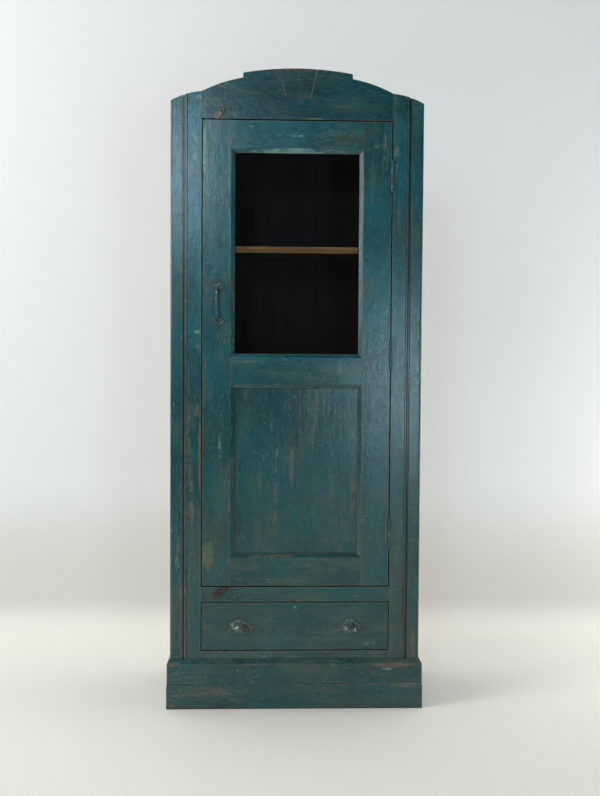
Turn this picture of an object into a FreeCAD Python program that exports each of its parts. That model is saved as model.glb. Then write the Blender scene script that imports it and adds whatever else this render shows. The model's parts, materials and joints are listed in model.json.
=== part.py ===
import FreeCAD, Part
import math
import os

Vector = FreeCAD.Vector

# A narrow painted cabinet: glazed door over a drawer, arched head, two-tier plinth. Millimetres.
# x runs across the front, y from front to back, z up. Everything is drawn with y = 0 on the front of the
# face frame, and save() shifts it so that the origin is the middle of the footprint on the floor.

# carcass
body_width = 732.0
body_depth = 380.0
body_height = 1763.0            # floor to the outer end of the shoulders
board = 18.0                    # roof, floor, bottom and shelves
side_thickness = 20.0
housing_depth = 6.0             # how far a level board enters the side boards
roof_drop = 4.0                 # roof below the side boards' top edge
floor_below_rail = 12.0         # cabinet floor below the top of the rail in front of it
back_thickness = 12.0
back_board_count = 5
back_foot_gap = 10.0
tongue_length = 5.0
tongue_thickness = 4.0
rear_post = 30.0
post_width = 36.0
post_depth = 36.0
post_round = 7.0
post_tongue = 8.0

# face frame
frame_thickness = 22.0
stile_width = 54.0
quirk_width = 5.0
quirk_depth = 6.0
bead_round = 4.0
vein_width = 1.6
vein_depth = 1.2
tenon_length = 30.0
tenon_thickness = 8.0
tenon_inset = 9.0
head_clear_height = 50.0        # shoulder end down to the top of the door opening
door_opening_bottom = 357.0
drawer_opening_top = 313.5
drawer_opening_bottom = 168.5
bottom_rail_bottom = 95.0

# arched head, heights over the outer end of the shoulders
shoulder_rise = 28.0
arch_rise = 68.0
cap_edge_rise = 82.0
crown_rise = 96.0
cap_half_width = 158.0
arch_bulge = 4.8
keystone_top_width = 112.0
keystone_bottom_width = 73.0
keystone_height = 81.0
keystone_chamfer = 1.4
keystone_overrun = 20.0         # how far the drawn wedge passes the crown before it is trimmed to it

# plinth
plinth_front = 14.0
plinth_side = 8.0
plinth_step = 1.5
plinth_split = 74.0
plinth_height = 144.0
plinth_slope = 12.0
plinth_lower_slope = 9.5

# shelves
shelf_thickness = 19.0
shelf_centres = {"upper": 1343.0, "middle": 985.0, "lower": 660.0}
shelf_setback = 3.0             # shelf behind the door stop strips
shelf_clearance = 0.5
cleat_section = 20.0
cleat_height = 25.0
cleat_setback = 60.0

# door
door_gap = 3.0
stop_gap = 0.3
door_stile_width = 93.0
door_bottom_rail_top = 454.7
panel_height = 484.3
door_mid_rail_height = 99.9
door_top_rail_height = 92.4
moulding_width = 11.0
moulding_depth = 6.0
door_tenon_length = 45.0
door_tenon_inset = 16.0
glass_front = 13.0
glass_thickness = 3.0
glass_rebate = 6.0
glass_clearance = 0.5
panel_front = 9.0
panel_thickness = 6.0
panel_tongue = 8.0
panel_groove = 9.0
panel_seam_x = 8.0
stop_width = 37.0
stop_thickness = 12.0
stop_lap = 10.0

# butt hinges
hinge_length = 89.0
hinge_from_door_end = 156.5
hinge_leaf = 1.4
hinge_leaf_width = 17.0
knuckle_radius = 3.8
knuckle_clear = 0.4
knuckle_count = 5
knuckle_gap = 0.3
pin_radius = 2.0
pin_clearance = 0.05
pin_head_radius = 3.2
pin_head_height = 1.5
hinge_screw_head = 3.2
hinge_screw_shank = 1.6
hinge_screw_length = 15.0
hinge_screw_pitch = 30.0
hinge_screw_setback = 10.0

# bow handle
handle_from_door_edge = 43.0
handle_upper_z = 1235.0
handle_lower_z = 1128.0
handle_reach = 32.0
handle_plate = 3.0
handle_grip_radius = 4.5
handle_bend = 14.0
handle_upper_lobe = 9.5
handle_lower_lobe = 9.0
handle_lobe_spread = 9.0
handle_lower_point = 16.5
handle_lower_lobe_lift = 4.5
handle_shield_half_width = 16.8
handle_grip_overlap = 2.0       # how far the grip's root reaches into the upper plate
handle_lower_screw_drop = 8.0
handle_screw_radius = 2.0
handle_screw_head = 3.4
handle_screw_head_height = 1.6
handle_screw_length = 16.0

# turn buttons
button_thickness = 5.0
button_end_radius = 7.0
button_long_arm = 26.0
button_short_arm = 13.0
top_button_x = -220.0
top_button_over_opening = 20.0
top_button_turn = 38.0          # rest, from hanging straight down over the door
bottom_button_x = -228.0
bottom_button_over_opening = 24.5
bottom_button_long_arm = 33.0
bottom_button_end_radius = 6.0
bottom_button_turn = 60.0       # rest, from standing straight up over the door
washer_radius = 6.0
washer_thickness = 1.2
button_clearance = 0.3
button_bore_clearance = 0.08
button_screw_radius = 2.0
button_screw_head = 4.5
button_screw_head_height = 2.0
button_screw_length = 18.0

# drawer
drawer_gap = 2.5
drawer_depth = 338.0
drawer_front_thickness = frame_thickness
drawer_lap = 6.0
drawer_side_thickness = 12.0
drawer_side_top_gap = 5.0
drawer_back_top_gap = 21.0
drawer_bottom_thickness = 6.0
drawer_bottom_lift = 9.0
drawer_groove = 6.0
dovetail_count = 4
dovetail_flare = 4.0
dovetail_margin = 8.0
slide_clearance = 0.3
guide_clearance = 0.5
runner_width = 80.0
guide_width = 24.0
guide_height = 32.0
kicker_width = 50.0
kicker_setback = 20.0
kicker_clearance = 1.0
drawer_stop_x = 170.0
drawer_stop_width = 50.0
drawer_stop_depth = 18.0
drawer_stop_height = 31.5

# cup pulls
pull_from_end = 113.5
pull_base_z = 226.0
pull_radius = 27.5
pull_sink = 5.0                 # centre of the hood behind the drawer front
pull_wall = 2.2
pull_flange_radius = 36.0
pull_flange = 1.8
pull_wing_half_width = 43.0
pull_wing_height = 14.0
pull_screw_offset = 37.5
pull_screw_head = 3.2
pull_screw_head_height = 1.4
pull_screw_shank = 1.5
pull_screw_length = 14.0

# drawer lock
keyhole_from_top = 19.5
keyhole_radius = 2.5
keyhole_slot_width = 2.4
keyhole_slot_length = 9.0
lock_width = 56.0
lock_height = 38.0
lock_depth = 10.0
bolt_width = 20.0
bolt_thickness = 4.0
bolt_height = 24.0
bolt_throw = 7.0
bolt_clearance = 0.3
bolt_mortise_slack = 1.0
bolt_mortise_spare = 1.5

body_half = body_width / 2
inner_half = body_half - side_thickness
post_inner = body_half - post_width
opening_half = post_inner - stile_width
roof_top = body_height - roof_drop
roof_bottom = roof_top - board
opening_top = body_height - head_clear_height
floor_top = door_opening_bottom - floor_below_rail
floor_bottom = floor_top - board
bottom_board_top = plinth_height
bottom_board_bottom = bottom_board_top - board
back_face = body_depth - back_thickness
shelf_front = frame_thickness + stop_thickness + shelf_setback
door_half = opening_half - door_gap
door_bottom = door_opening_bottom + door_gap
door_top = opening_top - door_gap
door_thickness = frame_thickness - stop_gap
sight_half = door_half - door_stile_width
shoulder_half = sight_half + moulding_width
panel_bottom = door_bottom_rail_top
panel_top = panel_bottom + panel_height
window_bottom = panel_top + door_mid_rail_height
window_top = door_top - door_top_rail_height
hinge_x = opening_half - door_gap / 2
hinge_y = -(knuckle_radius + knuckle_clear)
hinge_heights = [
    door_bottom + hinge_from_door_end,
    (door_bottom + door_top) / 2,
    door_top - hinge_from_door_end,
]
handle_x = handle_from_door_edge - door_half
drawer_half = opening_half - drawer_gap
drawer_bottom_z = drawer_opening_bottom + drawer_gap
drawer_top_z = drawer_opening_top - drawer_gap
drawer_side_bottom = drawer_opening_bottom + slide_clearance
drawer_side_top = drawer_top_z - drawer_side_top_gap
pull_x = drawer_half - pull_from_end
front_plane_shift = (handle_reach - body_depth) / 2


def block(x0, x1, y0, y1, z0, z1):
    return Part.makeBox(x1 - x0, y1 - y0, z1 - z0, Vector(x0, y0, z0))


def prism(points, path):
    return Part.Face(Part.makePolygon(points + [points[0]])).extrude(path)


def front_prism(outline, y0, y1):
    """An outline of (x, z) points, taken from y0 to y1."""
    return prism([Vector(x, y0, z) for x, z in outline], Vector(0, y1 - y0, 0))


def side_prism(outline, x0, x1):
    """An outline of (y, z) points, taken from x0 to x1."""
    return prism([Vector(x0, y, z) for y, z in outline], Vector(x1 - x0, 0, 0))


def plan_prism(outline, z0, z1):
    """An outline of (x, y) points, taken from z0 to z1."""
    return prism([Vector(x, y, z0) for x, y in outline], Vector(0, 0, z1 - z0))


def y_rod(radius, x, z, y0, y1):
    return Part.makeCylinder(radius, y1 - y0, Vector(x, y0, z), Vector(0, 1, 0))


def z_rod(radius, x, y, z0, z1):
    return Part.makeCylinder(radius, z1 - z0, Vector(x, y, z0), Vector(0, 0, 1))


def mirrored(shape):
    return shape.mirror(Vector(0, 0, 0), Vector(1, 0, 0))


def upright_edge(shape, x, y):
    for edge in shape.Edges:
        if all(abs(v.X - x) < 0.001 and abs(v.Y - y) < 0.001 for v in edge.Vertexes):
            return edge


def bulged(x0, z0, x1, z1, bulge):
    """An arc in the front plane whose middle lies a bulge above its chord."""
    length = math.hypot(x1 - x0, z1 - z0)
    normal_x = -(z1 - z0) / length
    normal_z = (x1 - x0) / length
    sign = math.copysign(1.0, normal_z)
    middle = Vector((x0 + x1) / 2 + sign * bulge * normal_x, 0, (z0 + z1) / 2 + sign * bulge * normal_z)
    return Part.Arc(Vector(x0, 0, z0), middle, Vector(x1, 0, z1)).toShape()


def line(x0, z0, x1, z1):
    return Part.LineSegment(Vector(x0, 0, z0), Vector(x1, 0, z1)).toShape()


def save(name, *solids):
    shape = solids[0] if len(solids) == 1 else Part.makeCompound(list(solids))
    shape.translate(Vector(0, front_plane_shift, 0))
    shape.exportStep("parts/" + name + ".step")


def save_pair(name, right):
    save(name + "_right", right.copy())
    save(name + "_left", mirrored(right))


# carcass -------------------------------------------------------------------------------------------------

def under_shoulder():
    """Everything below the curve that ends the posts and stiles, on the right-hand side."""
    inner = body_height + shoulder_rise
    margin = 5.0
    edges = [
        line(opening_half - margin, 0, body_half + margin, 0),
        line(body_half + margin, 0, body_half + margin, body_height),
        line(body_half + margin, body_height, body_half, body_height),
        bulged(body_half, body_height, opening_half, inner, arch_bulge),
        line(opening_half, inner, opening_half - margin, inner),
        line(opening_half - margin, inner, opening_half - margin, 0),
    ]
    return Part.Face(Part.Wire(edges)).extrude(Vector(0, post_depth, 0))


def side_tongue():
    third = side_thickness / 3
    return block(inner_half + third, body_half - third, post_depth - post_tongue, post_depth, 0, body_height)


def front_post():
    post = block(post_inner, body_half, 0, post_depth, 0, body_height + shoulder_rise)
    post = post.makeFillet(post_round, [upright_edge(post, body_half, 0)])
    return post.common(under_shoulder()).cut(side_tongue())


def level_board(z0, z1, y0):
    """A board across the carcass, housed in both sides and notched round all four posts."""
    whole = block(-inner_half - housing_depth, inner_half + housing_depth, y0, back_face, z0, z1)
    front_notch = block(post_inner, body_half, y0 - 1, post_depth, z0, z1)
    return whole.cut([front_notch, mirrored(front_notch)])


def roof_board():
    over_back = block(-inner_half - housing_depth, inner_half + housing_depth, back_face, body_depth,
                      roof_bottom, roof_top)
    return level_board(roof_bottom, roof_top, frame_thickness).fuse(over_back).removeSplitter()


def rear_post_block(spare=0.0):
    return block(inner_half - rear_post - spare, inner_half, back_face - rear_post - spare, back_face,
                 0, roof_bottom)


def notched_level_board(z0, z1):
    rear = rear_post_block()
    return level_board(z0, z1, frame_thickness).cut([rear, mirrored(rear)])


def side_board():
    side = block(inner_half, body_half, post_depth, body_depth, 0, body_height).fuse(side_tongue())
    boards = [
        roof_board(),
        notched_level_board(floor_bottom, floor_top),
        notched_level_board(bottom_board_bottom, bottom_board_top),
    ]
    return side.removeSplitter().cut(boards)


def back_boards():
    width = 2 * inner_half / back_board_count
    tongue_y = back_face + (back_thickness - tongue_thickness) / 2
    boards = []
    for index in range(back_board_count):
        x0 = -inner_half + index * width
        piece = block(x0, x0 + width, back_face, body_depth, back_foot_gap, roof_bottom)
        if index > 0:
            piece = piece.cut(block(x0, x0 + tongue_length, tongue_y, tongue_y + tongue_thickness,
                                    back_foot_gap, roof_bottom))
        if index < back_board_count - 1:
            tongue = block(x0 + width, x0 + width + tongue_length, tongue_y, tongue_y + tongue_thickness,
                           back_foot_gap, roof_bottom)
            piece = piece.fuse(tongue)
        boards.append(piece)
    return boards


def shelf(centre):
    half = inner_half - shelf_clearance
    whole = block(-half, half, shelf_front, back_face, centre - shelf_thickness / 2,
                  centre + shelf_thickness / 2)
    rear = rear_post_block(shelf_clearance)
    return whole.cut([rear, mirrored(rear)])


def shelf_cleats():
    cleats = []
    for centre in shelf_centres.values():
        top = centre - shelf_thickness / 2
        right = block(inner_half - cleat_section, inner_half, cleat_setback, back_face - cleat_setback,
                      top - cleat_height, top)
        cleats += [right, mirrored(right)]
    return cleats


def save_carcass():
    save_pair("front_post", front_post())
    save_pair("side_board", side_board())
    save_pair("rear_post", rear_post_block())
    save("roof_board", roof_board())
    save("cabinet_floor", notched_level_board(floor_bottom, floor_top))
    save("bottom_board", notched_level_board(bottom_board_bottom, bottom_board_top))
    save("back_boards", *back_boards())
    for name, centre in shelf_centres.items():
        save("shelf_" + name, shelf(centre))
    save("shelf_cleats", *shelf_cleats())


# face frame ----------------------------------------------------------------------------------------------

def frame_tenon(z0, z1):
    """The tenon at a rail's right-hand end, which also cuts the stile's mortise."""
    y0 = (frame_thickness - tenon_thickness) / 2
    return block(opening_half, opening_half + tenon_length, y0, y0 + tenon_thickness,
                 z0 + tenon_inset, z1 - tenon_inset)


def frame_tenons():
    return [
        frame_tenon(bottom_rail_bottom, drawer_opening_bottom),
        frame_tenon(drawer_opening_top, door_opening_bottom),
        frame_tenon(opening_top, body_height + shoulder_rise),
    ]


def frame_rail(z0, z1):
    tenon = frame_tenon(z0, z1)
    rail = block(-opening_half, opening_half, 0, frame_thickness, z0, z1)
    return rail.fuse([tenon, mirrored(tenon)]).removeSplitter()


def face_stile():
    """The stile with a quirk beside the post, a rounded bead at the quirk and a fine vein inside it."""
    stile = block(opening_half, post_inner - quirk_width, 0, frame_thickness, 0,
                  body_height + shoulder_rise)
    bead_edge = post_inner - quirk_width
    stile = stile.makeFillet(bead_round, [upright_edge(stile, bead_edge, 0)])
    web = block(bead_edge, post_inner, quirk_depth, frame_thickness, 0, body_height + shoulder_rise)
    vein_x = bead_edge - 2 * bead_round
    vein = plan_prism([(vein_x - vein_width / 2, 0), (vein_x + vein_width / 2, 0), (vein_x, vein_depth)],
                      0, body_height + shoulder_rise)
    stile = stile.fuse(web).removeSplitter().cut(vein).common(under_shoulder())
    return stile.cut(frame_tenons() + hinge_screws(1))


def keystone_outline(inset=0.0):
    top = body_height + crown_rise
    bottom = top - keystone_height + inset
    half_top = keystone_top_width / 2 - inset
    half_bottom = keystone_bottom_width / 2 - inset
    slope = (half_top - half_bottom) / (top - bottom)
    over = half_top + slope * keystone_overrun
    return [(-half_bottom, bottom), (half_bottom, bottom), (over, top + keystone_overrun),
            (-over, top + keystone_overrun)]


def head_outline():
    """The arched head: two flanking arcs, a step up at each end of the cap, and the crown's arc."""
    shoulder = body_height + shoulder_rise
    arch = body_height + arch_rise
    cap = body_height + cap_edge_rise
    edges = [
        line(-opening_half, opening_top, opening_half, opening_top),
        line(opening_half, opening_top, opening_half, shoulder),
        bulged(opening_half, shoulder, cap_half_width, arch, arch_bulge),
        line(cap_half_width, arch, cap_half_width, cap),
        bulged(cap_half_width, cap, -cap_half_width, cap, crown_rise - cap_edge_rise),
        line(-cap_half_width, cap, -cap_half_width, arch),
        bulged(-cap_half_width, arch, -opening_half, shoulder, arch_bulge),
        line(-opening_half, shoulder, -opening_half, opening_top),
    ]
    return Part.Face(Part.Wire(edges)).extrude(Vector(0, frame_thickness, 0))


def head_rail():
    tenon = frame_tenon(opening_top, body_height + shoulder_rise)
    notch = front_prism(keystone_outline(), -1, frame_thickness + 1)
    rail = head_outline().fuse([tenon, mirrored(tenon)]).removeSplitter()
    return rail.cut([notch, button_screw_hole(top_button_x, opening_top + top_button_over_opening)])


def keystone():
    """The wedge in the head, with a small chamfer round its front so that its outline shows."""
    wedge = front_prism(keystone_outline(), 0, frame_thickness).common(head_outline())
    inner = [Vector(x, 0, z) for x, z in keystone_outline(keystone_chamfer)]
    back = [Vector(x, keystone_chamfer, z) for x, z in keystone_outline()]
    rings = [Part.makePolygon(points + [points[0]]) for points in (inner, back)]
    bevelled = Part.makeLoft(rings, True, True)
    rest = front_prism(keystone_outline(), keystone_chamfer, frame_thickness)
    return wedge.common(bevelled.fuse(rest).removeSplitter())


def mid_rail():
    hole = button_screw_hole(bottom_button_x, drawer_opening_top + bottom_button_over_opening)
    bolt_y = bolt_front()
    half = bolt_width / 2 + bolt_mortise_slack
    mortise = block(-half, half, bolt_y - bolt_mortise_slack, bolt_y + bolt_thickness + bolt_mortise_slack,
                    drawer_opening_top, drawer_top_z + bolt_throw + bolt_mortise_spare)
    return frame_rail(drawer_opening_top, door_opening_bottom).cut([hole, mortise])


def door_stop_strips():
    """Strips behind the opening's left edge and top, which the closed door meets."""
    edge = opening_half - door_gap - stop_lap
    y1 = frame_thickness + stop_thickness
    top_bottom = door_top - stop_lap
    upright = block(-edge - stop_width, -edge, frame_thickness, y1, floor_top, top_bottom)
    level = block(-edge - stop_width, opening_half, frame_thickness, y1, top_bottom, roof_bottom)
    return [upright, level]


def save_face_frame():
    save_pair("face_stile", face_stile())
    save("head_rail", head_rail())
    save("keystone", keystone())
    save("mid_rail", mid_rail())
    save("bottom_rail", frame_rail(bottom_rail_bottom, drawer_opening_bottom))
    save("door_stop_strips", *door_stop_strips())


# plinth --------------------------------------------------------------------------------------------------

def plinth_profile(reach, upper):
    """Section of a plinth board as (distance out from the carcass, z)."""
    if upper:
        slope_run = reach * plinth_slope / plinth_front
        return [(0, plinth_split), (reach, plinth_split), (reach, plinth_height - plinth_slope),
                (reach - slope_run, plinth_height), (0, plinth_height)]
    return [(0, 0), (reach, 0), (reach, plinth_split - plinth_lower_slope),
            (reach - plinth_step, plinth_split), (0, plinth_split)]


def plinth_boards(step, upper):
    """The front board and the right-hand board of one tier, mitred at the front corner."""
    front_reach = plinth_front + step
    side_reach = plinth_side + step
    front = side_prism([(-out, z) for out, z in plinth_profile(front_reach, upper)],
                       -body_half - side_reach, body_half + side_reach)
    plan = [(-body_half, 0), (-body_half - side_reach, -front_reach),
            (body_half + side_reach, -front_reach), (body_half, 0)]
    front = front.common(plan_prism(plan, 0, plinth_height))
    points = [Vector(body_half + out, -front_reach, z) for out, z in plinth_profile(side_reach, upper)]
    side = prism(points, Vector(0, front_reach + body_depth, 0))
    plan = [(body_half, 0), (body_half + side_reach, -front_reach),
            (body_half + side_reach, body_depth), (body_half, body_depth)]
    return front, side.common(plan_prism(plan, 0, plinth_height))


def save_plinth():
    for tier, step, upper in (("lower", plinth_step, False), ("upper", 0.0, True)):
        front, side = plinth_boards(step, upper)
        save("plinth_" + tier + "_front", front)
        save_pair("plinth_" + tier, side)


# door ----------------------------------------------------------------------------------------------------

def light_ring(z0, z1, glazed):
    """The moulded edge round one light of the door, with a glass rebate or a panel groove."""
    ring = block(-shoulder_half, shoulder_half, 0, door_thickness, z0 - moulding_width, z1 + moulding_width)
    outer = [(-shoulder_half, z0 - moulding_width), (shoulder_half, z0 - moulding_width),
             (shoulder_half, z1 + moulding_width), (-shoulder_half, z1 + moulding_width)]
    inner = [(-sight_half, z0), (sight_half, z0), (sight_half, z1), (-sight_half, z1)]
    loops = [[Vector(x, y, z) for x, z in outline] for outline, y in ((outer, 0), (inner, moulding_depth))]
    bevel = Part.makeLoft([Part.makePolygon(loop + [loop[0]]) for loop in loops], True, True)
    cuts = [bevel, block(-sight_half, sight_half, 0, door_thickness, z0, z1)]
    if glazed:
        cuts.append(block(-sight_half - glass_rebate, sight_half + glass_rebate, glass_front,
                          door_thickness, z0 - glass_rebate, z1 + glass_rebate))
    else:
        cuts.append(block(-sight_half - panel_groove, sight_half + panel_groove, panel_front,
                          panel_front + panel_thickness, z0 - panel_groove, z1 + panel_groove))
    return ring.cut(cuts)


def ring_side(z0, z1, glazed):
    """The right-hand run of a moulded edge, mitred at both ends."""
    outline = [(shoulder_half, z0 - moulding_width), (sight_half, z0), (sight_half, z1),
               (shoulder_half, z1 + moulding_width)]
    return light_ring(z0, z1, glazed).common(front_prism(outline, 0, door_thickness))


def ring_end(z0, z1, glazed, top):
    """The top or bottom run of a moulded edge, mitred at both ends."""
    if top:
        outline = [(-sight_half, z1), (sight_half, z1), (shoulder_half, z1 + moulding_width),
                   (-shoulder_half, z1 + moulding_width)]
    else:
        outline = [(-shoulder_half, z0 - moulding_width), (shoulder_half, z0 - moulding_width),
                   (sight_half, z0), (-sight_half, z0)]
    return light_ring(z0, z1, glazed).common(front_prism(outline, 0, door_thickness))


def door_tenon(z0, z1):
    y0 = (door_thickness - tenon_thickness) / 2
    return block(shoulder_half, shoulder_half + door_tenon_length, y0, y0 + tenon_thickness,
                 z0 + door_tenon_inset, z1 - door_tenon_inset)


def door_rails():
    """Each rail's lowest and highest plain edge, and the moulded runs that it carries."""
    return {
        "bottom": (door_bottom, panel_bottom - moulding_width,
                   [ring_end(panel_bottom, panel_top, False, False)]),
        "mid": (panel_top + moulding_width, window_bottom - moulding_width,
                [ring_end(panel_bottom, panel_top, False, True),
                 ring_end(window_bottom, window_top, True, False)]),
        "top": (window_top + moulding_width, door_top, [ring_end(window_bottom, window_top, True, True)]),
    }


def door_rail(z0, z1, runs):
    tenon = door_tenon(z0, z1)
    rail = block(-shoulder_half, shoulder_half, 0, door_thickness, z0, z1)
    return rail.fuse(runs + [tenon, mirrored(tenon)]).removeSplitter()


def door_stile():
    stile = block(shoulder_half, door_half, 0, door_thickness, door_bottom, door_top)
    runs = [ring_side(panel_bottom, panel_top, False), ring_side(window_bottom, window_top, True)]
    mortises = [door_tenon(z0, z1) for z0, z1, _ in door_rails().values()]
    return stile.fuse(runs).removeSplitter().cut(mortises)


def panel_boards():
    z0 = panel_bottom - panel_tongue
    z1 = panel_top + panel_tongue
    y1 = panel_front + panel_thickness
    half = sight_half + panel_tongue
    third = panel_thickness / 3
    tongue = block(panel_seam_x, panel_seam_x + tongue_length, panel_front + third, y1 - third, z0, z1)
    left = block(-half, panel_seam_x, panel_front, y1, z0, z1).fuse(tongue).removeSplitter()
    right = block(panel_seam_x, half, panel_front, y1, z0, z1).cut(tongue)
    return left, right


def window_glass():
    reach = glass_rebate - glass_clearance
    return block(-sight_half - reach, sight_half + reach, glass_front, glass_front + glass_thickness,
                 window_bottom - reach, window_top + reach)


def glazing_beads():
    outer = sight_half + glass_rebate
    y0 = glass_front + glass_thickness
    upright = block(sight_half, outer, y0, door_thickness, window_bottom - glass_rebate,
                    window_top + glass_rebate)
    level = [block(-sight_half, sight_half, y0, door_thickness, z0, z0 + glass_rebate)
             for z0 in (window_bottom - glass_rebate, window_top)]
    return [upright, mirrored(upright)] + level


def save_door():
    right = door_stile()
    save("door_stile_left", mirrored(right).cut(handle_screw_holes()))
    save("door_stile_right", right.cut(hinge_screws(-1)))
    for name, (z0, z1, runs) in door_rails().items():
        save("door_rail_" + name, door_rail(z0, z1, runs))
    left, right = panel_boards()
    save("door_panel_left", left)
    save("door_panel_right", right)
    save("window_glass", window_glass())
    save("glazing_beads", *glazing_beads())


# hinges --------------------------------------------------------------------------------------------------

def hinge_screw(centre, offset, side):
    """A countersunk screw along x: side +1 goes into the frame, -1 into the door."""
    start = opening_half - hinge_leaf if side > 0 else door_half + hinge_leaf
    place = Vector(start, hinge_screw_setback, centre + offset)
    way = Vector(side, 0, 0)
    head = Part.makeCone(hinge_screw_head, hinge_screw_shank, hinge_leaf, place, way)
    return head.fuse(Part.makeCylinder(hinge_screw_shank, hinge_screw_length, place, way)).removeSplitter()


def leaf_screws(centre, side):
    return [hinge_screw(centre, offset, side) for offset in (-hinge_screw_pitch, 0, hinge_screw_pitch)]


def hinge_screws(side):
    return [screw for centre in hinge_heights for screw in leaf_screws(centre, side)]


def knuckles(centre, turn):
    """The knuckles of one leaf: turn 0 takes the first, third and fifth, turn 1 the others."""
    pitch = hinge_length / knuckle_count
    bottom = centre - hinge_length / 2
    return [(bottom + index * pitch + knuckle_gap / 2, bottom + (index + 1) * pitch - knuckle_gap / 2)
            for index in range(turn, knuckle_count, 2)]


def hinge_half(centre, turn):
    """One leaf with its knuckles rolled round the pin."""
    x0, x1 = (opening_half - hinge_leaf, opening_half) if turn == 0 else (door_half, door_half + hinge_leaf)
    leaf = block(x0, x1, 0, hinge_leaf_width, centre - hinge_length / 2, centre + hinge_length / 2)
    solids = []
    for z0, z1 in knuckles(centre, turn):
        solids.append(z_rod(knuckle_radius, hinge_x, hinge_y, z0, z1))
        solids.append(block(x0, x1, hinge_y, 0, z0, z1))
    bore = z_rod(pin_radius + pin_clearance, hinge_x, hinge_y, centre - hinge_length, centre + hinge_length)
    side = 1 if turn == 0 else -1
    return leaf.fuse(solids).removeSplitter().cut([bore] + leaf_screws(centre, side))


def hinge_pin(centre):
    half = hinge_length / 2
    pin = z_rod(pin_radius, hinge_x, hinge_y, centre - half - pin_head_height,
                centre + half + pin_head_height)
    heads = [z_rod(pin_head_radius, hinge_x, hinge_y, z0, z0 + pin_head_height)
             for z0 in (centre - half - pin_head_height, centre + half)]
    return pin.fuse(heads).removeSplitter()


def save_hinges():
    save("hinge_frame_leaves", *[hinge_half(centre, 0) for centre in hinge_heights])
    save("hinge_door_leaves", *[hinge_half(centre, 1) for centre in hinge_heights])
    save("hinge_pins", *[hinge_pin(centre) for centre in hinge_heights])
    save("hinge_frame_screws", *hinge_screws(1))
    save("hinge_door_screws", *hinge_screws(-1))


# bow handle ----------------------------------------------------------------------------------------------

def handle_grip():
    """A round bar that leaves the upper plate, runs down in front of the door and returns."""
    out = handle_grip_radius - handle_reach
    start = -handle_plate / 2
    upper = handle_upper_z - handle_upper_lobe + handle_grip_overlap
    lower = handle_lower_z + handle_lower_lobe
    bend = handle_bend
    corner = bend * (1 - math.sqrt(0.5))
    points = {
        "top_in": Vector(handle_x, start, upper),
        "top_bend": Vector(handle_x, out + bend, upper),
        "top_mid": Vector(handle_x, out + corner, upper - corner),
        "top_down": Vector(handle_x, out, upper - bend),
        "low_down": Vector(handle_x, out, lower + bend),
        "low_mid": Vector(handle_x, out + corner, lower + corner),
        "low_bend": Vector(handle_x, out + bend, lower),
        "low_in": Vector(handle_x, start, lower),
    }
    path = Part.Wire([
        Part.LineSegment(points["top_in"], points["top_bend"]).toShape(),
        Part.Arc(points["top_bend"], points["top_mid"], points["top_down"]).toShape(),
        Part.LineSegment(points["top_down"], points["low_down"]).toShape(),
        Part.Arc(points["low_down"], points["low_mid"], points["low_bend"]).toShape(),
        Part.LineSegment(points["low_bend"], points["low_in"]).toShape(),
    ])
    profile = Part.Wire(Part.makeCircle(handle_grip_radius, points["top_in"], Vector(0, 1, 0)))
    return path.makePipeShell([profile], True, False)


def handle_upper_plate():
    spread = handle_lobe_spread
    lobes = [(0, spread), (-spread, 0), (spread, 0), (0, -spread)]
    discs = [y_rod(handle_upper_lobe, handle_x + x, handle_upper_z + z, -handle_plate, 0) for x, z in lobes]
    return discs[0].fuse(discs[1:])


def handle_lower_plate():
    spread = handle_lobe_spread
    lobe_z = handle_lower_z + handle_lower_lobe_lift
    discs = [y_rod(handle_lower_lobe, handle_x + x, lobe_z, -handle_plate, 0) for x in (-spread, spread)]
    side = handle_shield_half_width
    shield = front_prism([(handle_x - side, handle_lower_z), (handle_x, handle_lower_z - handle_lower_point),
                          (handle_x + side, handle_lower_z), (handle_x, lobe_z + handle_lower_lobe)],
                         -handle_plate, 0)
    return discs[0].fuse([discs[1], shield])


def handle_screw_places():
    return [(handle_x, handle_upper_z + handle_lobe_spread),
            (handle_x, handle_lower_z - handle_lower_screw_drop)]


def handle_screw(x, z):
    head = y_rod(handle_screw_head, x, z, -handle_plate - handle_screw_head_height, -handle_plate)
    shank = y_rod(handle_screw_radius, x, z, -handle_plate, handle_screw_length - handle_plate)
    return head.fuse(shank).removeSplitter()


def handle_screw_holes():
    return [y_rod(handle_screw_radius, x, z, -handle_plate, handle_screw_length - handle_plate)
            for x, z in handle_screw_places()]


def door_handle():
    return handle_upper_plate().fuse([handle_lower_plate(), handle_grip()]).cut(handle_screw_holes())


def save_handle():
    save("door_handle", door_handle())
    save("door_handle_screws", *[handle_screw(x, z) for x, z in handle_screw_places()])


# turn buttons --------------------------------------------------------------------------------------------

def button_screw_hole(x, z):
    return y_rod(button_screw_radius, x, z, 0, button_screw_length)


def turn_button(x, z, long_arm, end_radius, turn):
    """A bar with round ends on a screw; turn is the long arm's angle from straight down, seen in front."""
    back = -washer_thickness - button_clearance
    front = back - button_thickness
    low = -long_arm + end_radius
    high = button_short_arm - end_radius
    bar = block(-end_radius, end_radius, front, back, low, high)
    ends = [y_rod(end_radius, 0, z_end, front, back) for z_end in (low, high)]
    bore = y_rod(button_screw_radius + button_bore_clearance, 0, 0, front, back)
    button = bar.fuse(ends).removeSplitter().cut(bore)
    button.rotate(Vector(0, 0, 0), Vector(0, 1, 0), turn)
    button.translate(Vector(x, 0, z))
    return button


def button_fixings(x, z):
    """The washer against the rail, and the screw whose head keeps the button on."""
    washer = y_rod(washer_radius, x, z, -washer_thickness, 0).cut(
        y_rod(button_screw_radius, x, z, -washer_thickness, 0))
    under_head = -washer_thickness - 2 * button_clearance - button_thickness
    head = y_rod(button_screw_head, x, z, under_head - button_screw_head_height, under_head)
    shank = y_rod(button_screw_radius, x, z, under_head, button_screw_length)
    return [washer, head.fuse(shank).removeSplitter()]


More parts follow.
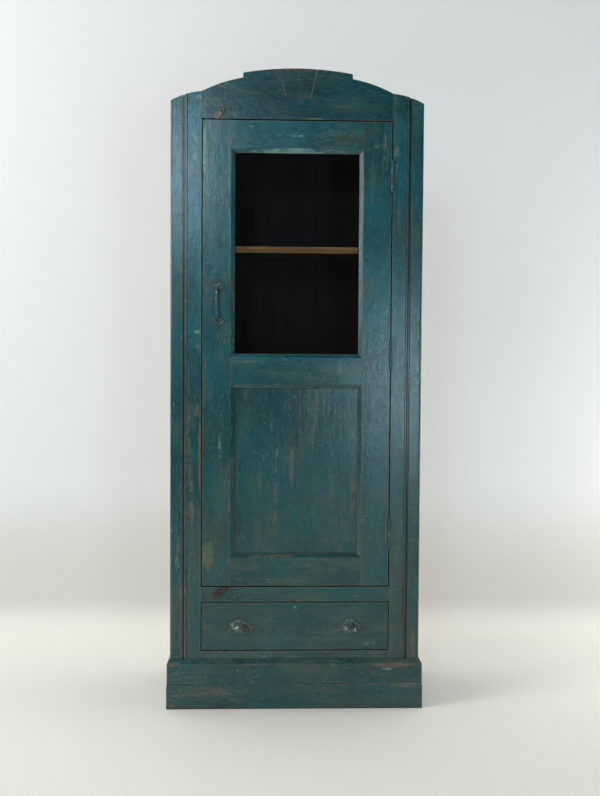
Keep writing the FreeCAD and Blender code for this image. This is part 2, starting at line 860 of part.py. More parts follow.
def save_turn_buttons():
    top_z = opening_top + top_button_over_opening
    bottom_z = drawer_opening_top + bottom_button_over_opening
    save("turn_button_top", turn_button(top_button_x, top_z, button_long_arm, button_end_radius,
                                        top_button_turn))
    save("turn_button_bottom", turn_button(bottom_button_x, bottom_z, bottom_button_long_arm,
                                           bottom_button_end_radius, 180 + bottom_button_turn))
    save("turn_button_fixings", *(button_fixings(top_button_x, top_z)
                                  + button_fixings(bottom_button_x, bottom_z)))


# drawer --------------------------------------------------------------------------------------------------

def dovetails():
    """The tails on the front end of the right-hand side, narrow at the shoulder and wide at the tip."""
    x0 = drawer_half - drawer_side_thickness
    z0 = drawer_bottom_z + dovetail_margin
    pitch = (drawer_side_top - z0) / dovetail_count
    tails = []
    for index in range(dovetail_count):
        low = z0 + index * pitch
        high = low + pitch - dovetail_margin
        tails.append(side_prism([(drawer_front_thickness, low + dovetail_flare),
                                 (drawer_front_thickness, high - dovetail_flare),
                                 (drawer_lap, high), (drawer_lap, low)], x0, drawer_half))
    return tails


def drawer_floor():
    half = drawer_half - drawer_side_thickness + drawer_groove
    z0 = drawer_side_bottom + drawer_bottom_lift
    return block(-half, half, drawer_front_thickness - drawer_groove, drawer_depth, z0,
                 z0 + drawer_bottom_thickness)


def drawer_side():
    side = block(drawer_half - drawer_side_thickness, drawer_half, drawer_front_thickness, drawer_depth,
                 drawer_side_bottom, drawer_side_top)
    return side.fuse(dovetails()).removeSplitter().cut(drawer_floor())


def drawer_back():
    half = drawer_half - drawer_side_thickness
    z0 = drawer_side_bottom + drawer_bottom_lift + drawer_bottom_thickness
    return block(-half, half, drawer_depth - drawer_side_thickness, drawer_depth, z0,
                 drawer_top_z - drawer_back_top_gap)


def keyhole():
    z = drawer_top_z - keyhole_from_top
    slot = block(-keyhole_slot_width / 2, keyhole_slot_width / 2, 0, drawer_front_thickness - lock_depth,
                 z - keyhole_slot_length, z)
    return y_rod(keyhole_radius, 0, z, 0, drawer_front_thickness - lock_depth).fuse(slot)


def bolt_front():
    return drawer_front_thickness - lock_depth + (lock_depth - bolt_thickness) / 2


def lock_outline():
    return block(-lock_width / 2, lock_width / 2, drawer_front_thickness - lock_depth,
                 drawer_front_thickness, drawer_top_z - lock_height, drawer_top_z)


def lock_case():
    half = bolt_width / 2 + bolt_clearance
    y0 = bolt_front() - bolt_clearance
    channel = block(-half, half, y0, y0 + bolt_thickness + 2 * bolt_clearance,
                    drawer_top_z - bolt_height - bolt_clearance, drawer_top_z)
    return lock_outline().cut(channel)


def lock_bolt():
    return block(-bolt_width / 2, bolt_width / 2, bolt_front(), bolt_front() + bolt_thickness,
                 drawer_top_z - bolt_height, drawer_top_z)


def drawer_front():
    front = block(-drawer_half, drawer_half, 0, drawer_front_thickness, drawer_bottom_z, drawer_top_z)
    tails = dovetails()
    cuts = tails + [mirrored(tail) for tail in tails]
    cuts += [drawer_floor(), lock_outline(), keyhole()] + pull_screw_holes()
    return front.cut(cuts)


def drawer_runners():
    x1 = post_inner
    right = block(x1 - runner_width, x1, frame_thickness, back_face - rear_post, bottom_board_top,
                  drawer_opening_bottom)
    return [right, mirrored(right)]


def drawer_guides():
    x0 = drawer_half + guide_clearance
    right = block(x0, x0 + guide_width, frame_thickness, back_face - rear_post, drawer_opening_bottom,
                  drawer_opening_bottom + guide_height)
    return [right, mirrored(right)]


def drawer_kickers():
    x1 = post_inner - kicker_setback
    right = block(x1 - kicker_width, x1, frame_thickness, back_face - rear_post,
                  drawer_side_top + kicker_clearance, floor_bottom)
    return [right, mirrored(right)]


def drawer_stops():
    y0 = drawer_front_thickness + stop_gap
    right = block(drawer_stop_x - drawer_stop_width / 2, drawer_stop_x + drawer_stop_width / 2, y0,
                  y0 + drawer_stop_depth, bottom_board_top, bottom_board_top + drawer_stop_height)
    return [right, mirrored(right)]


def save_drawer():
    save("drawer_front", drawer_front())
    save_pair("drawer_side", drawer_side())
    save("drawer_back", drawer_back())
    save("drawer_bottom", drawer_floor())
    save("drawer_runners", *drawer_runners())
    save("drawer_guides", *drawer_guides())
    save("drawer_kickers", *drawer_kickers())
    save("drawer_stops", *drawer_stops())
    save("lock_case", lock_case())
    save("lock_bolt", lock_bolt())


# cup pulls -----------------------------------------------------------------------------------------------

def pull_screw_places():
    z = pull_base_z + pull_wing_height / 2
    offsets = (-pull_screw_offset, pull_screw_offset)
    return [(sign * pull_x + offset, z) for sign in (-1, 1) for offset in offsets]


def pull_screw_hole(x, z):
    return y_rod(pull_screw_shank, x, z, -pull_flange, pull_screw_length)


def pull_screw_holes():
    return [pull_screw_hole(x, z) for x, z in pull_screw_places()]


def pull_screw(x, z):
    head = y_rod(pull_screw_head, x, z, -pull_flange - pull_screw_head_height, -pull_flange)
    return head.fuse(pull_screw_hole(x, z)).removeSplitter()


def cup_pull():
    """A hood cut from a hollow sphere, open below, on a half-round flange with a wing at each side."""
    centre = Vector(pull_x, pull_sink, pull_base_z)
    reach = 2 * pull_radius
    front_half = block(pull_x - reach, pull_x + reach, -reach, 0, pull_base_z, pull_base_z + reach)
    hood = Part.makeSphere(pull_radius, centre).common(front_half)
    flange_half = block(pull_x - reach, pull_x + reach, -pull_flange, 0, pull_base_z, pull_base_z + reach)
    flange = y_rod(pull_flange_radius, pull_x, pull_base_z, -pull_flange, 0).common(flange_half)
    wings = block(pull_x - pull_wing_half_width, pull_x + pull_wing_half_width, -pull_flange, 0,
                  pull_base_z, pull_base_z + pull_wing_height)
    hollow = Part.makeSphere(pull_radius - pull_wall, centre)
    shape = flange.fuse([wings, hood]).removeSplitter()
    return shape.cut([hollow] + pull_screw_holes())


def save_cup_pulls():
    save_pair("cup_pull", cup_pull())
    save("cup_pull_screws", *[pull_screw(x, z) for x, z in pull_screw_places()])


os.makedirs("parts", exist_ok=True)
save_carcass()
save_face_frame()
save_plinth()
save_door()
save_hinges()
save_handle()
save_turn_buttons()
save_drawer()
save_cup_pulls()
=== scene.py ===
import json
import math
import bmesh
import bpy
from mathutils import Matrix, Vector, noise


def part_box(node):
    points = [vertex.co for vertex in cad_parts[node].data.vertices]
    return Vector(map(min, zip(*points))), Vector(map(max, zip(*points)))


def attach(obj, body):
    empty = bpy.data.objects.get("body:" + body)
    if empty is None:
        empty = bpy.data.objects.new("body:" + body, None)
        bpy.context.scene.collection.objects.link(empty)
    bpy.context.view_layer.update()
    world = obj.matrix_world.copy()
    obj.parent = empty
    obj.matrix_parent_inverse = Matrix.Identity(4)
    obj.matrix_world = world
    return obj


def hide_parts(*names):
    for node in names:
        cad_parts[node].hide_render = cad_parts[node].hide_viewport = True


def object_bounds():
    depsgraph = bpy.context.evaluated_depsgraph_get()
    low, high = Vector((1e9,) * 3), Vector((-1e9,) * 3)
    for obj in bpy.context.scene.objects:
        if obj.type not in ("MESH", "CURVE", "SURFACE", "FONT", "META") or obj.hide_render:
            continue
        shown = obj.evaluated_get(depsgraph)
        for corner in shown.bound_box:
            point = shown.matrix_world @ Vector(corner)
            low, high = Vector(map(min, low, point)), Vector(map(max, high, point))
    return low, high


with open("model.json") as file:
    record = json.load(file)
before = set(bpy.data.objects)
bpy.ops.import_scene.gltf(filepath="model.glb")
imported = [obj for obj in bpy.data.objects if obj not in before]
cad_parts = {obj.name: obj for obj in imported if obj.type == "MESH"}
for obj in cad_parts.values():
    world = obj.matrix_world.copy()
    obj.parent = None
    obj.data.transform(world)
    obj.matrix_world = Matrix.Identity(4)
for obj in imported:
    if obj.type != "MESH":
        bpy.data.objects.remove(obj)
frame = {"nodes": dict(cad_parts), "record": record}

# A tall painted cupboard with a glazed door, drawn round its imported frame. Metres, front towards -Y.
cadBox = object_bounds()
scene = bpy.context.scene
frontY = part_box("head_rail")[0].y
weldDistance = 1e-5


# node helpers

class Tree:
    # a thin wrapper that adds nodes and wires them in one call
    def __init__(self, name):
        self.material = bpy.data.materials.new(name)
        self.material.use_nodes = True
        self.nodes = self.material.node_tree.nodes
        self.links = self.material.node_tree.links
        self.nodes.clear()

    def add(self, kind, inputs=None, **settings):
        item = self.nodes.new("ShaderNode" + kind)
        for key, value in settings.items():
            setattr(item, key, value)
        for key, value in (inputs or {}).items():
            self.put(item.inputs[key], value)
        return item

    def put(self, socket, value):
        if isinstance(value, bpy.types.NodeSocket):
            self.links.new(value, socket)
        else:
            socket.default_value = value

    def math(self, operation, a, b=0.0):
        return self.add("Math", {0: a, 1: b}, operation=operation).outputs[0]

    def vector(self, operation, a, b=(0, 0, 0)):
        return self.add("VectorMath", {0: a, 1: b}, operation=operation).outputs[0]

    def mix(self, factor, a, b, blend="MIX"):
        item = self.add("Mix", data_type="RGBA", blend_type=blend)
        self.put(item.inputs["Factor"], factor)
        self.put(item.inputs[6], a)
        self.put(item.inputs[7], b)
        return item.outputs[2]

    def ramp(self, value, low, high, toLow=0.0, toHigh=1.0):
        item = self.add("MapRange", {0: value, 1: low, 2: high, 3: toLow, 4: toHigh})
        item.interpolation_type = "SMOOTHSTEP"
        return item.outputs[0]

    def noise(self, place, scale, detail=3.0, rough=0.55, distortion=0.0):
        return self.add("TexNoise", {"Vector": place, "Scale": scale, "Detail": detail, "Roughness": rough,
                                     "Distortion": distortion}).outputs["Fac"]

    def openness(self, reach):
        # 1 in the open, less in a corner narrower than the reach
        return self.add("AmbientOcclusion", {"Distance": reach}, samples=paint["samples"]).outputs["AO"]

    def place(self, stretch=(1, 1, 1), shift=(0, 0, 0)):
        here = self.add("TexCoord").outputs["Object"]
        return self.add("Mapping", {"Vector": here, "Location": shift, "Scale": stretch}).outputs[0]


def rgb(red, green, blue):
    return (red, green, blue, 1.0)


# paint

paint = {
    "deep": rgb(0.0035, 0.046, 0.056),
    "mid": rgb(0.005, 0.096, 0.118),
    "light": rgb(0.026, 0.190, 0.228),
    "olive": rgb(0.052, 0.082, 0.062),
    "brown": rgb(0.180, 0.135, 0.082),
    "low": rgb(0.0075, 0.046, 0.043),
    "pale": rgb(0.210, 0.350, 0.310),
    "moss": rgb(0.125, 0.165, 0.075),
    # the next colour is painted shade for corners and joints
    "paintedShade": rgb(0.012, 0.016, 0.014),
    "coat": 0.55, "coatRough": 0.16, "specular": 0.24,
    "arrisReach": 0.0035, "cornerReach": 0.012, "seamReach": 0.0035, "samples": 4,
}


patches = {"core": 0.25, "thin": 0.84, "full": 0.96, "depth": 0.05, "cover": 0.85, "shade": 0.6}


def patchMask(tree, spots, ragged):
    # ellipsoids at given places, their cover broken up by a ragged noise
    here = tree.add("TexCoord").outputs["Object"]
    total = None
    for centre, reach, strength in spots:
        away = tree.vector("DIVIDE", tree.vector("SUBTRACT", here, centre), reach)
        length = tree.add("VectorMath", {0: away}, operation="LENGTH").outputs["Value"]
        soft = tree.math("MULTIPLY", tree.ramp(length, 1.0, patches["core"]), strength)
        total = soft if total is None else tree.math("MAXIMUM", total, soft)
    return tree.ramp(tree.math("ADD", total, ragged), patches["thin"], patches["full"])


# each noise's scale, detail, roughness and distortion, and the range over which each layer comes in
noises = {
    "brushed": (1.0, 5.0, 0.65, 0.3), "hairs": (1.0, 2.0), "cloud": (4.0, 5.0, 0.6),
    "wash": (4.5, 7.0, 0.72, 0.5),
    "mottle": (42.0, 6.0, 0.7, 0.3), "grit": (190.0, 4.0, 0.75, 0.8), "rub": (1.0, 7.0, 0.70, 0.7),
    "cluster": (9.0, 3.0, 0.5), "cross": (1.0, 2.0, 0.5, 1.6), "ragged": (48.0, 6.0, 0.72),
    "streaks": (1.0, 7.0, 0.75, 0.6),
}
spans = {
    "cloud": (0.36, 0.64), "light": (0.50, 0.66, 0.0, 0.75), "mottle": (0.50, 0.68, 0.0, 0.65),
    "hairs": (0.46, 0.74, 0.0, 0.45), "nearFloor": (1.35, 0.10, 0.0, 0.04), "lowTint": (1.30, 0.30, 0.0, 0.50),
    "grimeWash": (0.47, 0.59), "grimeBrush": (0.34, 0.62), "rub": (0.56, 0.66), "rubBreak": (0.42, 0.58),
    "chips": (0.57, 0.63), "cluster": (0.44, 0.62), "cross": (0.66, 0.69), "crossBreak": (0.44, 0.58),
    "arris": (0.996, 0.945), "open": (0.42, 0.62), "bareArris": (0.38, 0.52), "paleArris": (0.54, 0.62),
    # the corner and seam spans below set where the painted shade comes in
    "patchTone": (0.35, 0.65), "cornerShade": (0.70, 0.42, 0.0, 0.80), "seamShade": (0.93, 0.72, 0.0, 0.85),
    "rough": (0.3, 0.7, 0.25, 0.40),
}
shares = {"rub": 0.55, "chips": 0.34, "cross": 0.28, "bareArris": 0.85, "paleArris": 0.35, "wornRough": 0.26}
reliefs = {"brushed": 0.8, "hairs": 0.14, "worn": 0.4, "mottle": 1.1, "strength": 0.45, "depth": 0.0010}


def paintMaterial(name, grain, pale=(), brown=(), green=(), moss=(), darker=1.0, wear=1.0, seed=0.0):
    # old oil paint: brushed along the grain, grimed in clouds, rubbed through in streaks and on arrises
    tree = Tree(name)
    along = {"x": (2.6, 34, 34), "z": (34, 34, 2.6), "y": (34, 2.6, 34)}[grain]
    fine = {"x": (46, 330, 330), "z": (330, 330, 46), "y": (330, 46, 330)}[grain]
    shift = (seed, seed * 1.7, seed * 0.6)
    body = tree.place((1, 1, 1), shift)
    brushed = tree.noise(tree.place(along, shift), *noises["brushed"])
    hairs = tree.noise(tree.place(fine, shift), *noises["hairs"])
    cloud = tree.noise(body, *noises["cloud"])
    wash = tree.noise(tree.place(tuple(1.0 if a < 10 else 2.4 for a in along), (shift[0] + 7.0, 2.0, 5.0)),
                      *noises["wash"])
    mottle = tree.noise(body, *noises["mottle"])
    grit = tree.noise(tree.place(tuple(1.0 if a > 10 else 0.35 for a in along), shift), *noises["grit"])

    colour = tree.mix(tree.ramp(cloud, *spans["cloud"]), paint["deep"], paint["mid"])
    both = tree.math("ADD", tree.math("MULTIPLY", brushed, 0.5), tree.math("MULTIPLY", wash, 0.5))
    colour = tree.mix(tree.ramp(both, *spans["light"]), colour, paint["light"])
    colour = tree.mix(tree.ramp(mottle, *spans["mottle"]), colour, paint["deep"])
    colour = tree.mix(tree.ramp(hairs, *spans["hairs"]), colour, paint["light"])

    # grime and thin paint: olive clouds drawn out along the grain
    upward = tree.add("SeparateXYZ", {0: tree.add("TexCoord").outputs["Object"]}).outputs[2]
    low = tree.ramp(upward, *spans["nearFloor"])
    grime = tree.math("MULTIPLY", tree.ramp(tree.math("ADD", wash, low), *spans["grimeWash"]),
                      tree.ramp(tree.math("ADD", brushed, low), *spans["grimeBrush"]))
    # the colour turns darker towards the bottom
    colour = tree.mix(tree.ramp(upward, *spans["lowTint"]), colour, paint["low"])
    colour = tree.mix(tree.math("MULTIPLY", grime, 0.66 * wear), colour, paint["olive"])

    # paint rubbed off in streaks, with bare wood at the middle
    rub = tree.noise(tree.place(tuple(0.8 * a for a in along), (3.1 + seed, 1.3, 0.7)), *noises["rub"])
    rubMask = tree.math("MULTIPLY", tree.ramp(rub, *spans["rub"]), tree.ramp(mottle, *spans["rubBreak"]))
    colour = tree.mix(tree.math("MULTIPLY", rubMask, shares["rub"] * wear), colour, paint["brown"])

    # pale chips in loose clusters, and a few thin scratches
    cluster = tree.noise(body, *noises["cluster"])
    chips = tree.math("MULTIPLY", tree.ramp(grit, *spans["chips"]), tree.ramp(cluster, *spans["cluster"]))
    colour = tree.mix(tree.math("MULTIPLY", chips, shares["chips"] * wear), colour, paint["pale"])
    cross = tree.noise(tree.place((30, 90, 240), (seed, 4.0, 2.0)), *noises["cross"])
    crossMask = tree.math("MULTIPLY", tree.ramp(cross, *spans["cross"]),
                          tree.ramp(mottle, *spans["crossBreak"]))
    colour = tree.mix(tree.math("MULTIPLY", crossMask, shares["cross"] * wear), colour, paint["pale"])

    # arrises: the rounded normal differs from the flat one only near an edge
    bevel = tree.add("Bevel", {"Radius": paint["arrisReach"]}, samples=paint["samples"]).outputs[0]
    facing = tree.add("VectorMath", {0: bevel, 1: tree.add("NewGeometry").outputs["Normal"]},
                      operation="DOT_PRODUCT").outputs["Value"]
    corner = tree.openness(paint["cornerReach"])
    edge = tree.math("MULTIPLY", tree.ramp(facing, *spans["arris"]), tree.ramp(corner, *spans["open"]))
    ragged = tree.noise(body, *noises["ragged"])
    edgeWood = tree.math("MULTIPLY", edge, tree.ramp(ragged, *spans["bareArris"]))
    edgePale = tree.math("MULTIPLY", edge, tree.ramp(grit, *spans["paleArris"]))
    colour = tree.mix(tree.math("MULTIPLY", edgeWood, shares["bareArris"] * wear), colour, paint["brown"])
    colour = tree.mix(tree.math("MULTIPLY", edgePale, shares["paleArris"] * wear), colour, paint["pale"])

    streaks = tree.noise(tree.place(tuple(0.9 * a for a in along), (1.9, 5.2, seed)), *noises["streaks"])
    spotNoise = tree.math("ADD", tree.math("MULTIPLY", streaks, 0.6), tree.math("MULTIPLY", ragged, 0.4))
    bare = None
    layers = ((green, paint["olive"]), (moss, paint["moss"]), (pale, paint["pale"]), (brown, paint["brown"]))
    for spots, shade in layers:
        if spots:
            mask = patchMask(tree, spots, spotNoise)
            shaded = rgb(*(patches["shade"] * level for level in shade[:3]))
            tone = tree.mix(tree.ramp(grit, *spans["patchTone"]), shade, shaded)
            colour = tree.mix(tree.math("MULTIPLY", mask, patches["cover"]), colour, tone)
            bare = mask if bare is None else tree.math("MAXIMUM", bare, mask)
    if darker != 1.0:
        colour = tree.mix(1.0, colour, rgb(darker, darker, darker), "MULTIPLY")

    # painted shade: darker in corners and along joints, where little light reaches
    colour = tree.mix(tree.ramp(corner, *spans["cornerShade"]), colour, paint["paintedShade"])
    seam = tree.openness(paint["seamReach"])
    colour = tree.mix(tree.ramp(seam, *spans["seamShade"]), colour, paint["paintedShade"])

    worn = tree.math("MAXIMUM", edgeWood, rubMask)
    if bare is not None:
        worn = tree.math("MAXIMUM", worn, bare)
    rough = tree.math("ADD", tree.ramp(mottle, *spans["rough"]),
                      tree.math("MULTIPLY", worn, shares["wornRough"]))
    height = tree.math("ADD", tree.math("MULTIPLY", brushed, reliefs["brushed"]),
                       tree.math("MULTIPLY", hairs, reliefs["hairs"]))
    height = tree.math("SUBTRACT", height, tree.math("MULTIPLY", worn, reliefs["worn"]))
    height = tree.math("ADD", height, tree.math("MULTIPLY", mottle, reliefs["mottle"]))
    bump = tree.add("Bump", {"Strength": reliefs["strength"], "Distance": reliefs["depth"], "Height": height})
    shader = tree.add("BsdfPrincipled", {"Base Color": colour, "Roughness": rough, "Normal": bump.outputs[0]})
    tree.put(shader.inputs["Coat Normal"], bump.outputs[0])
    shader.inputs["Specular IOR Level"].default_value = paint["specular"]
    shader.inputs["Coat Weight"].default_value = paint["coat"]
    shader.inputs["Coat Roughness"].default_value = paint["coatRough"]
    tree.add("OutputMaterial", {"Surface": shader.outputs[0]})
    return tree.material


# bare wood, metal and glass

woods = {
    # backWood and shelfWood keep the wood's colour on one face only; their last colour is painted shade for
    # the other faces
    "backWood": {"dark": rgb(0.090, 0.052, 0.028), "light": rgb(0.210, 0.130, 0.070), "rough": 0.78,
                 "unshadedFacing": 1.0, "shadedWood": rgb(0.012, 0.0065, 0.004)},
    # partly painted shade: dark old wood, made near-black to stand in for the shade inside the carcass
    "shadedInnerWood": {"dark": rgb(0.008, 0.005, 0.003), "light": rgb(0.026, 0.014, 0.008), "rough": 0.80},
    "shelfWood": {"dark": rgb(0.30, 0.115, 0.032), "light": rgb(0.78, 0.36, 0.125), "rough": 0.60,
                  "unshadedFacing": -1.0, "shadedWood": rgb(0.050, 0.022, 0.009)},
    "drawerWood": {"dark": rgb(0.20, 0.115, 0.055), "light": rgb(0.36, 0.225, 0.12), "rough": 0.66},
}


woodNoises = {"lines": (1.0, 5.0, 0.65, 1.1), "pores": (1.0, 2.0), "knots": (7.0, 2.0, 0.4, 0.8)}
woodSpans = {"lines": (0.35, 0.68), "pores": (0.55, 0.75, 0.0, 0.5), "knots": (0.70, 0.80, 0.0, 0.8)}
# the last entry sets how much darker the painted shade on wood goes
woodRelief = {"strength": 0.3, "depth": 0.0008, "pores": 0.5, "roughSpread": 0.14, "shadedWoodDarkest": 0.5}


def woodMaterial(name, grain, look):
    # long grain lines warped by a slow noise, with knots as darker pools
    tree = Tree(name)
    along = {"x": (1.2, 26, 26), "z": (26, 26, 1.2), "y": (26, 1.2, 26)}[grain]
    lines = tree.noise(tree.place(along), *woodNoises["lines"])
    pores = tree.noise(tree.place(tuple(9 * a for a in along)), *woodNoises["pores"])
    knots = tree.noise(tree.place((1, 1, 1)), *woodNoises["knots"])
    colour = tree.mix(tree.ramp(lines, *woodSpans["lines"]), look["dark"], look["light"])
    colour = tree.mix(tree.ramp(pores, *woodSpans["pores"]), colour, look["dark"])
    colour = tree.mix(tree.ramp(knots, *woodSpans["knots"]), colour, look["dark"])
    if "unshadedFacing" in look:
        # painted shade: one face keeps the wood's colour and the other faces are painted dark, standing in for
        # the shade inside the cabinet
        outward = tree.add("SeparateXYZ", {0: tree.add("TexCoord").outputs["Normal"]}).outputs[1]
        darkest = rgb(*(woodRelief["shadedWoodDarkest"] * level for level in look["shadedWood"][:3]))
        shadedWood = tree.mix(lines, darkest, look["shadedWood"])
        colour = tree.mix(tree.ramp(outward, 0.2 * look["unshadedFacing"], 0.7 * look["unshadedFacing"]), shadedWood, colour)
    height = tree.math("ADD", lines, tree.math("MULTIPLY", pores, woodRelief["pores"]))
    bump = tree.add("Bump", {"Strength": woodRelief["strength"], "Distance": woodRelief["depth"],
                             "Height": height})
    rough = tree.ramp(lines, 0.3, 0.7, look["rough"], look["rough"] + woodRelief["roughSpread"])
    shader = tree.add("BsdfPrincipled", {"Base Color": colour, "Roughness": rough, "Normal": bump.outputs[0]})
    tree.add("OutputMaterial", {"Surface": shader.outputs[0]})
    return tree.material


metals = {
    "handleIron": {"base": rgb(0.030, 0.070, 0.072), "worn": rgb(0.42, 0.47, 0.45),
                   "rust": rgb(0.06, 0.065, 0.05), "amount": 0.55, "rough": 0.34, "metal": 0.45},
    "pullIron": {"base": rgb(0.040, 0.082, 0.078), "worn": rgb(0.50, 0.50, 0.46),
                 "rust": rgb(0.13, 0.11, 0.085), "amount": 0.62, "rough": 0.38, "metal": 0.40},
    "hingeIron": {"base": rgb(0.012, 0.078, 0.098), "worn": rgb(0.30, 0.33, 0.31),
                  "rust": rgb(0.07, 0.055, 0.035), "amount": 0.55, "rough": 0.36, "metal": 0.25},
    "buttonWorn": {"base": rgb(0.20, 0.155, 0.105), "worn": rgb(0.50, 0.44, 0.36),
                   "rust": rgb(0.06, 0.035, 0.02), "amount": 0.55, "rough": 0.55, "metal": 0.15},
    "buttonRusty": {"base": rgb(0.060, 0.032, 0.020), "worn": rgb(0.20, 0.15, 0.11),
                    "rust": rgb(0.11, 0.045, 0.02), "amount": 0.35, "rough": 0.70, "metal": 0.2},
    "screwSteel": {"base": rgb(0.06, 0.055, 0.05), "worn": rgb(0.26, 0.24, 0.21),
                   "rust": rgb(0.09, 0.05, 0.03), "amount": 0.45, "rough": 0.52, "metal": 0.7},
    "lockSteel": {"base": rgb(0.10, 0.09, 0.075), "worn": rgb(0.26, 0.24, 0.20),
                  "rust": rgb(0.09, 0.05, 0.03), "amount": 0.4, "rough": 0.5, "metal": 0.8},
}


metalNoises = {"pits": (420.0, 4.0, 0.6), "blotch": (70.0, 5.0, 0.65, 0.5)}
metalSpans = {"edge": (0.995, 0.90), "edgeBreak": (0.35, 0.55), "rubbed": (0.54, 0.68), "rust": (0.50, 0.34)}
metalRelief = {"arris": 0.0016, "samples": 4, "strength": 0.35, "depth": 0.0006, "roughSpread": 0.2,
               "polish": 0.15}


def metalMaterial(name, look):
    # cast metal: pitted, rubbed bright on its high edges, rust in between
    tree = Tree(name)
    here = tree.place((1, 1, 1))
    pits = tree.noise(here, *metalNoises["pits"])
    blotch = tree.noise(here, *metalNoises["blotch"])
    bevel = tree.add("Bevel", {"Radius": metalRelief["arris"]}, samples=metalRelief["samples"]).outputs[0]
    facing = tree.add("VectorMath", {0: bevel, 1: tree.add("NewGeometry").outputs["Normal"]},
                      operation="DOT_PRODUCT").outputs["Value"]
    edge = tree.ramp(facing, *metalSpans["edge"])
    rubbed = tree.math("MAXIMUM", tree.math("MULTIPLY", edge, tree.ramp(blotch, *metalSpans["edgeBreak"])),
                       tree.ramp(blotch, *metalSpans["rubbed"]))
    rubbed = tree.math("MULTIPLY", rubbed, look["amount"])
    colour = tree.mix(tree.ramp(blotch, *metalSpans["rust"]), look["base"], look["rust"])
    colour = tree.mix(rubbed, colour, look["worn"])
    rough = tree.ramp(pits, 0.3, 0.7, look["rough"], look["rough"] + metalRelief["roughSpread"])
    rough = tree.math("SUBTRACT", rough, tree.math("MULTIPLY", rubbed, metalRelief["polish"]))
    height = tree.math("ADD", pits, blotch)
    bump = tree.add("Bump", {"Strength": metalRelief["strength"], "Distance": metalRelief["depth"],
                             "Height": height, "Normal": bevel})
    shader = tree.add("BsdfPrincipled", {"Base Color": colour, "Roughness": rough, "Normal": bump.outputs[0]})
    shader.inputs["Metallic"].default_value = look["metal"]
    tree.add("OutputMaterial", {"Surface": shader.outputs[0]})
    return tree.material


glass = {"tint": rgb(0.93, 0.96, 0.94), "film": rgb(0.30, 0.26, 0.20), "filmShare": 0.004,
         "rough": 0.02, "ior": 1.45, "shine": 0.8, "ripple": (5.0, 2.0), "smear": (9.0, 5.0, 0.7, 0.7),
         "rippleStrength": 0.12, "rippleDepth": 0.002}


def glassMaterial():
    # thin old pane: clear, gently rippled, with a dusty film in patches
    tree = Tree("oldGlass")
    ripple = tree.noise(tree.place((1, 1, 0.4)), *glass["ripple"])
    bump = tree.add("Bump", {"Strength": glass["rippleStrength"], "Distance": glass["rippleDepth"],
                             "Height": ripple}).outputs[0]
    clear = tree.add("BsdfTransparent", {"Color": glass["tint"]}).outputs[0]
    gloss = tree.add("BsdfGlossy", {"Color": rgb(1, 1, 1), "Roughness": glass["rough"],
                                    "Normal": bump}).outputs[0]
    dust = tree.add("BsdfDiffuse", {"Color": glass["film"]}).outputs[0]
    fresnel = tree.add("Fresnel", {"IOR": glass["ior"], "Normal": bump}).outputs[0]
    mirror = tree.math("MULTIPLY", fresnel, glass["shine"])
    pane = tree.add("MixShader", {0: mirror, 1: clear, 2: gloss}).outputs[0]
    smear = tree.noise(tree.place((1, 1, 0.5)), *glass["smear"])
    share = tree.ramp(smear, 0.40, 0.80, 0.0, glass["filmShare"])
    whole = tree.add("MixShader", {0: share, 1: pane, 2: dust}).outputs[0]
    tree.add("OutputMaterial", {"Surface": whole})
    return tree.material


# worn places, each given by what it lies on

def spot(node, across, up, reach, strength=0.62):
    # across and up run from 0 to 1 over a node's front face; reach is in metres, x and z
    low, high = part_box(node)
    centre = (low.x + across * (high.x - low.x), low.y, low.z + up * (high.z - low.z))
    return (centre, (reach[0], patches["depth"], reach[1]), strength)


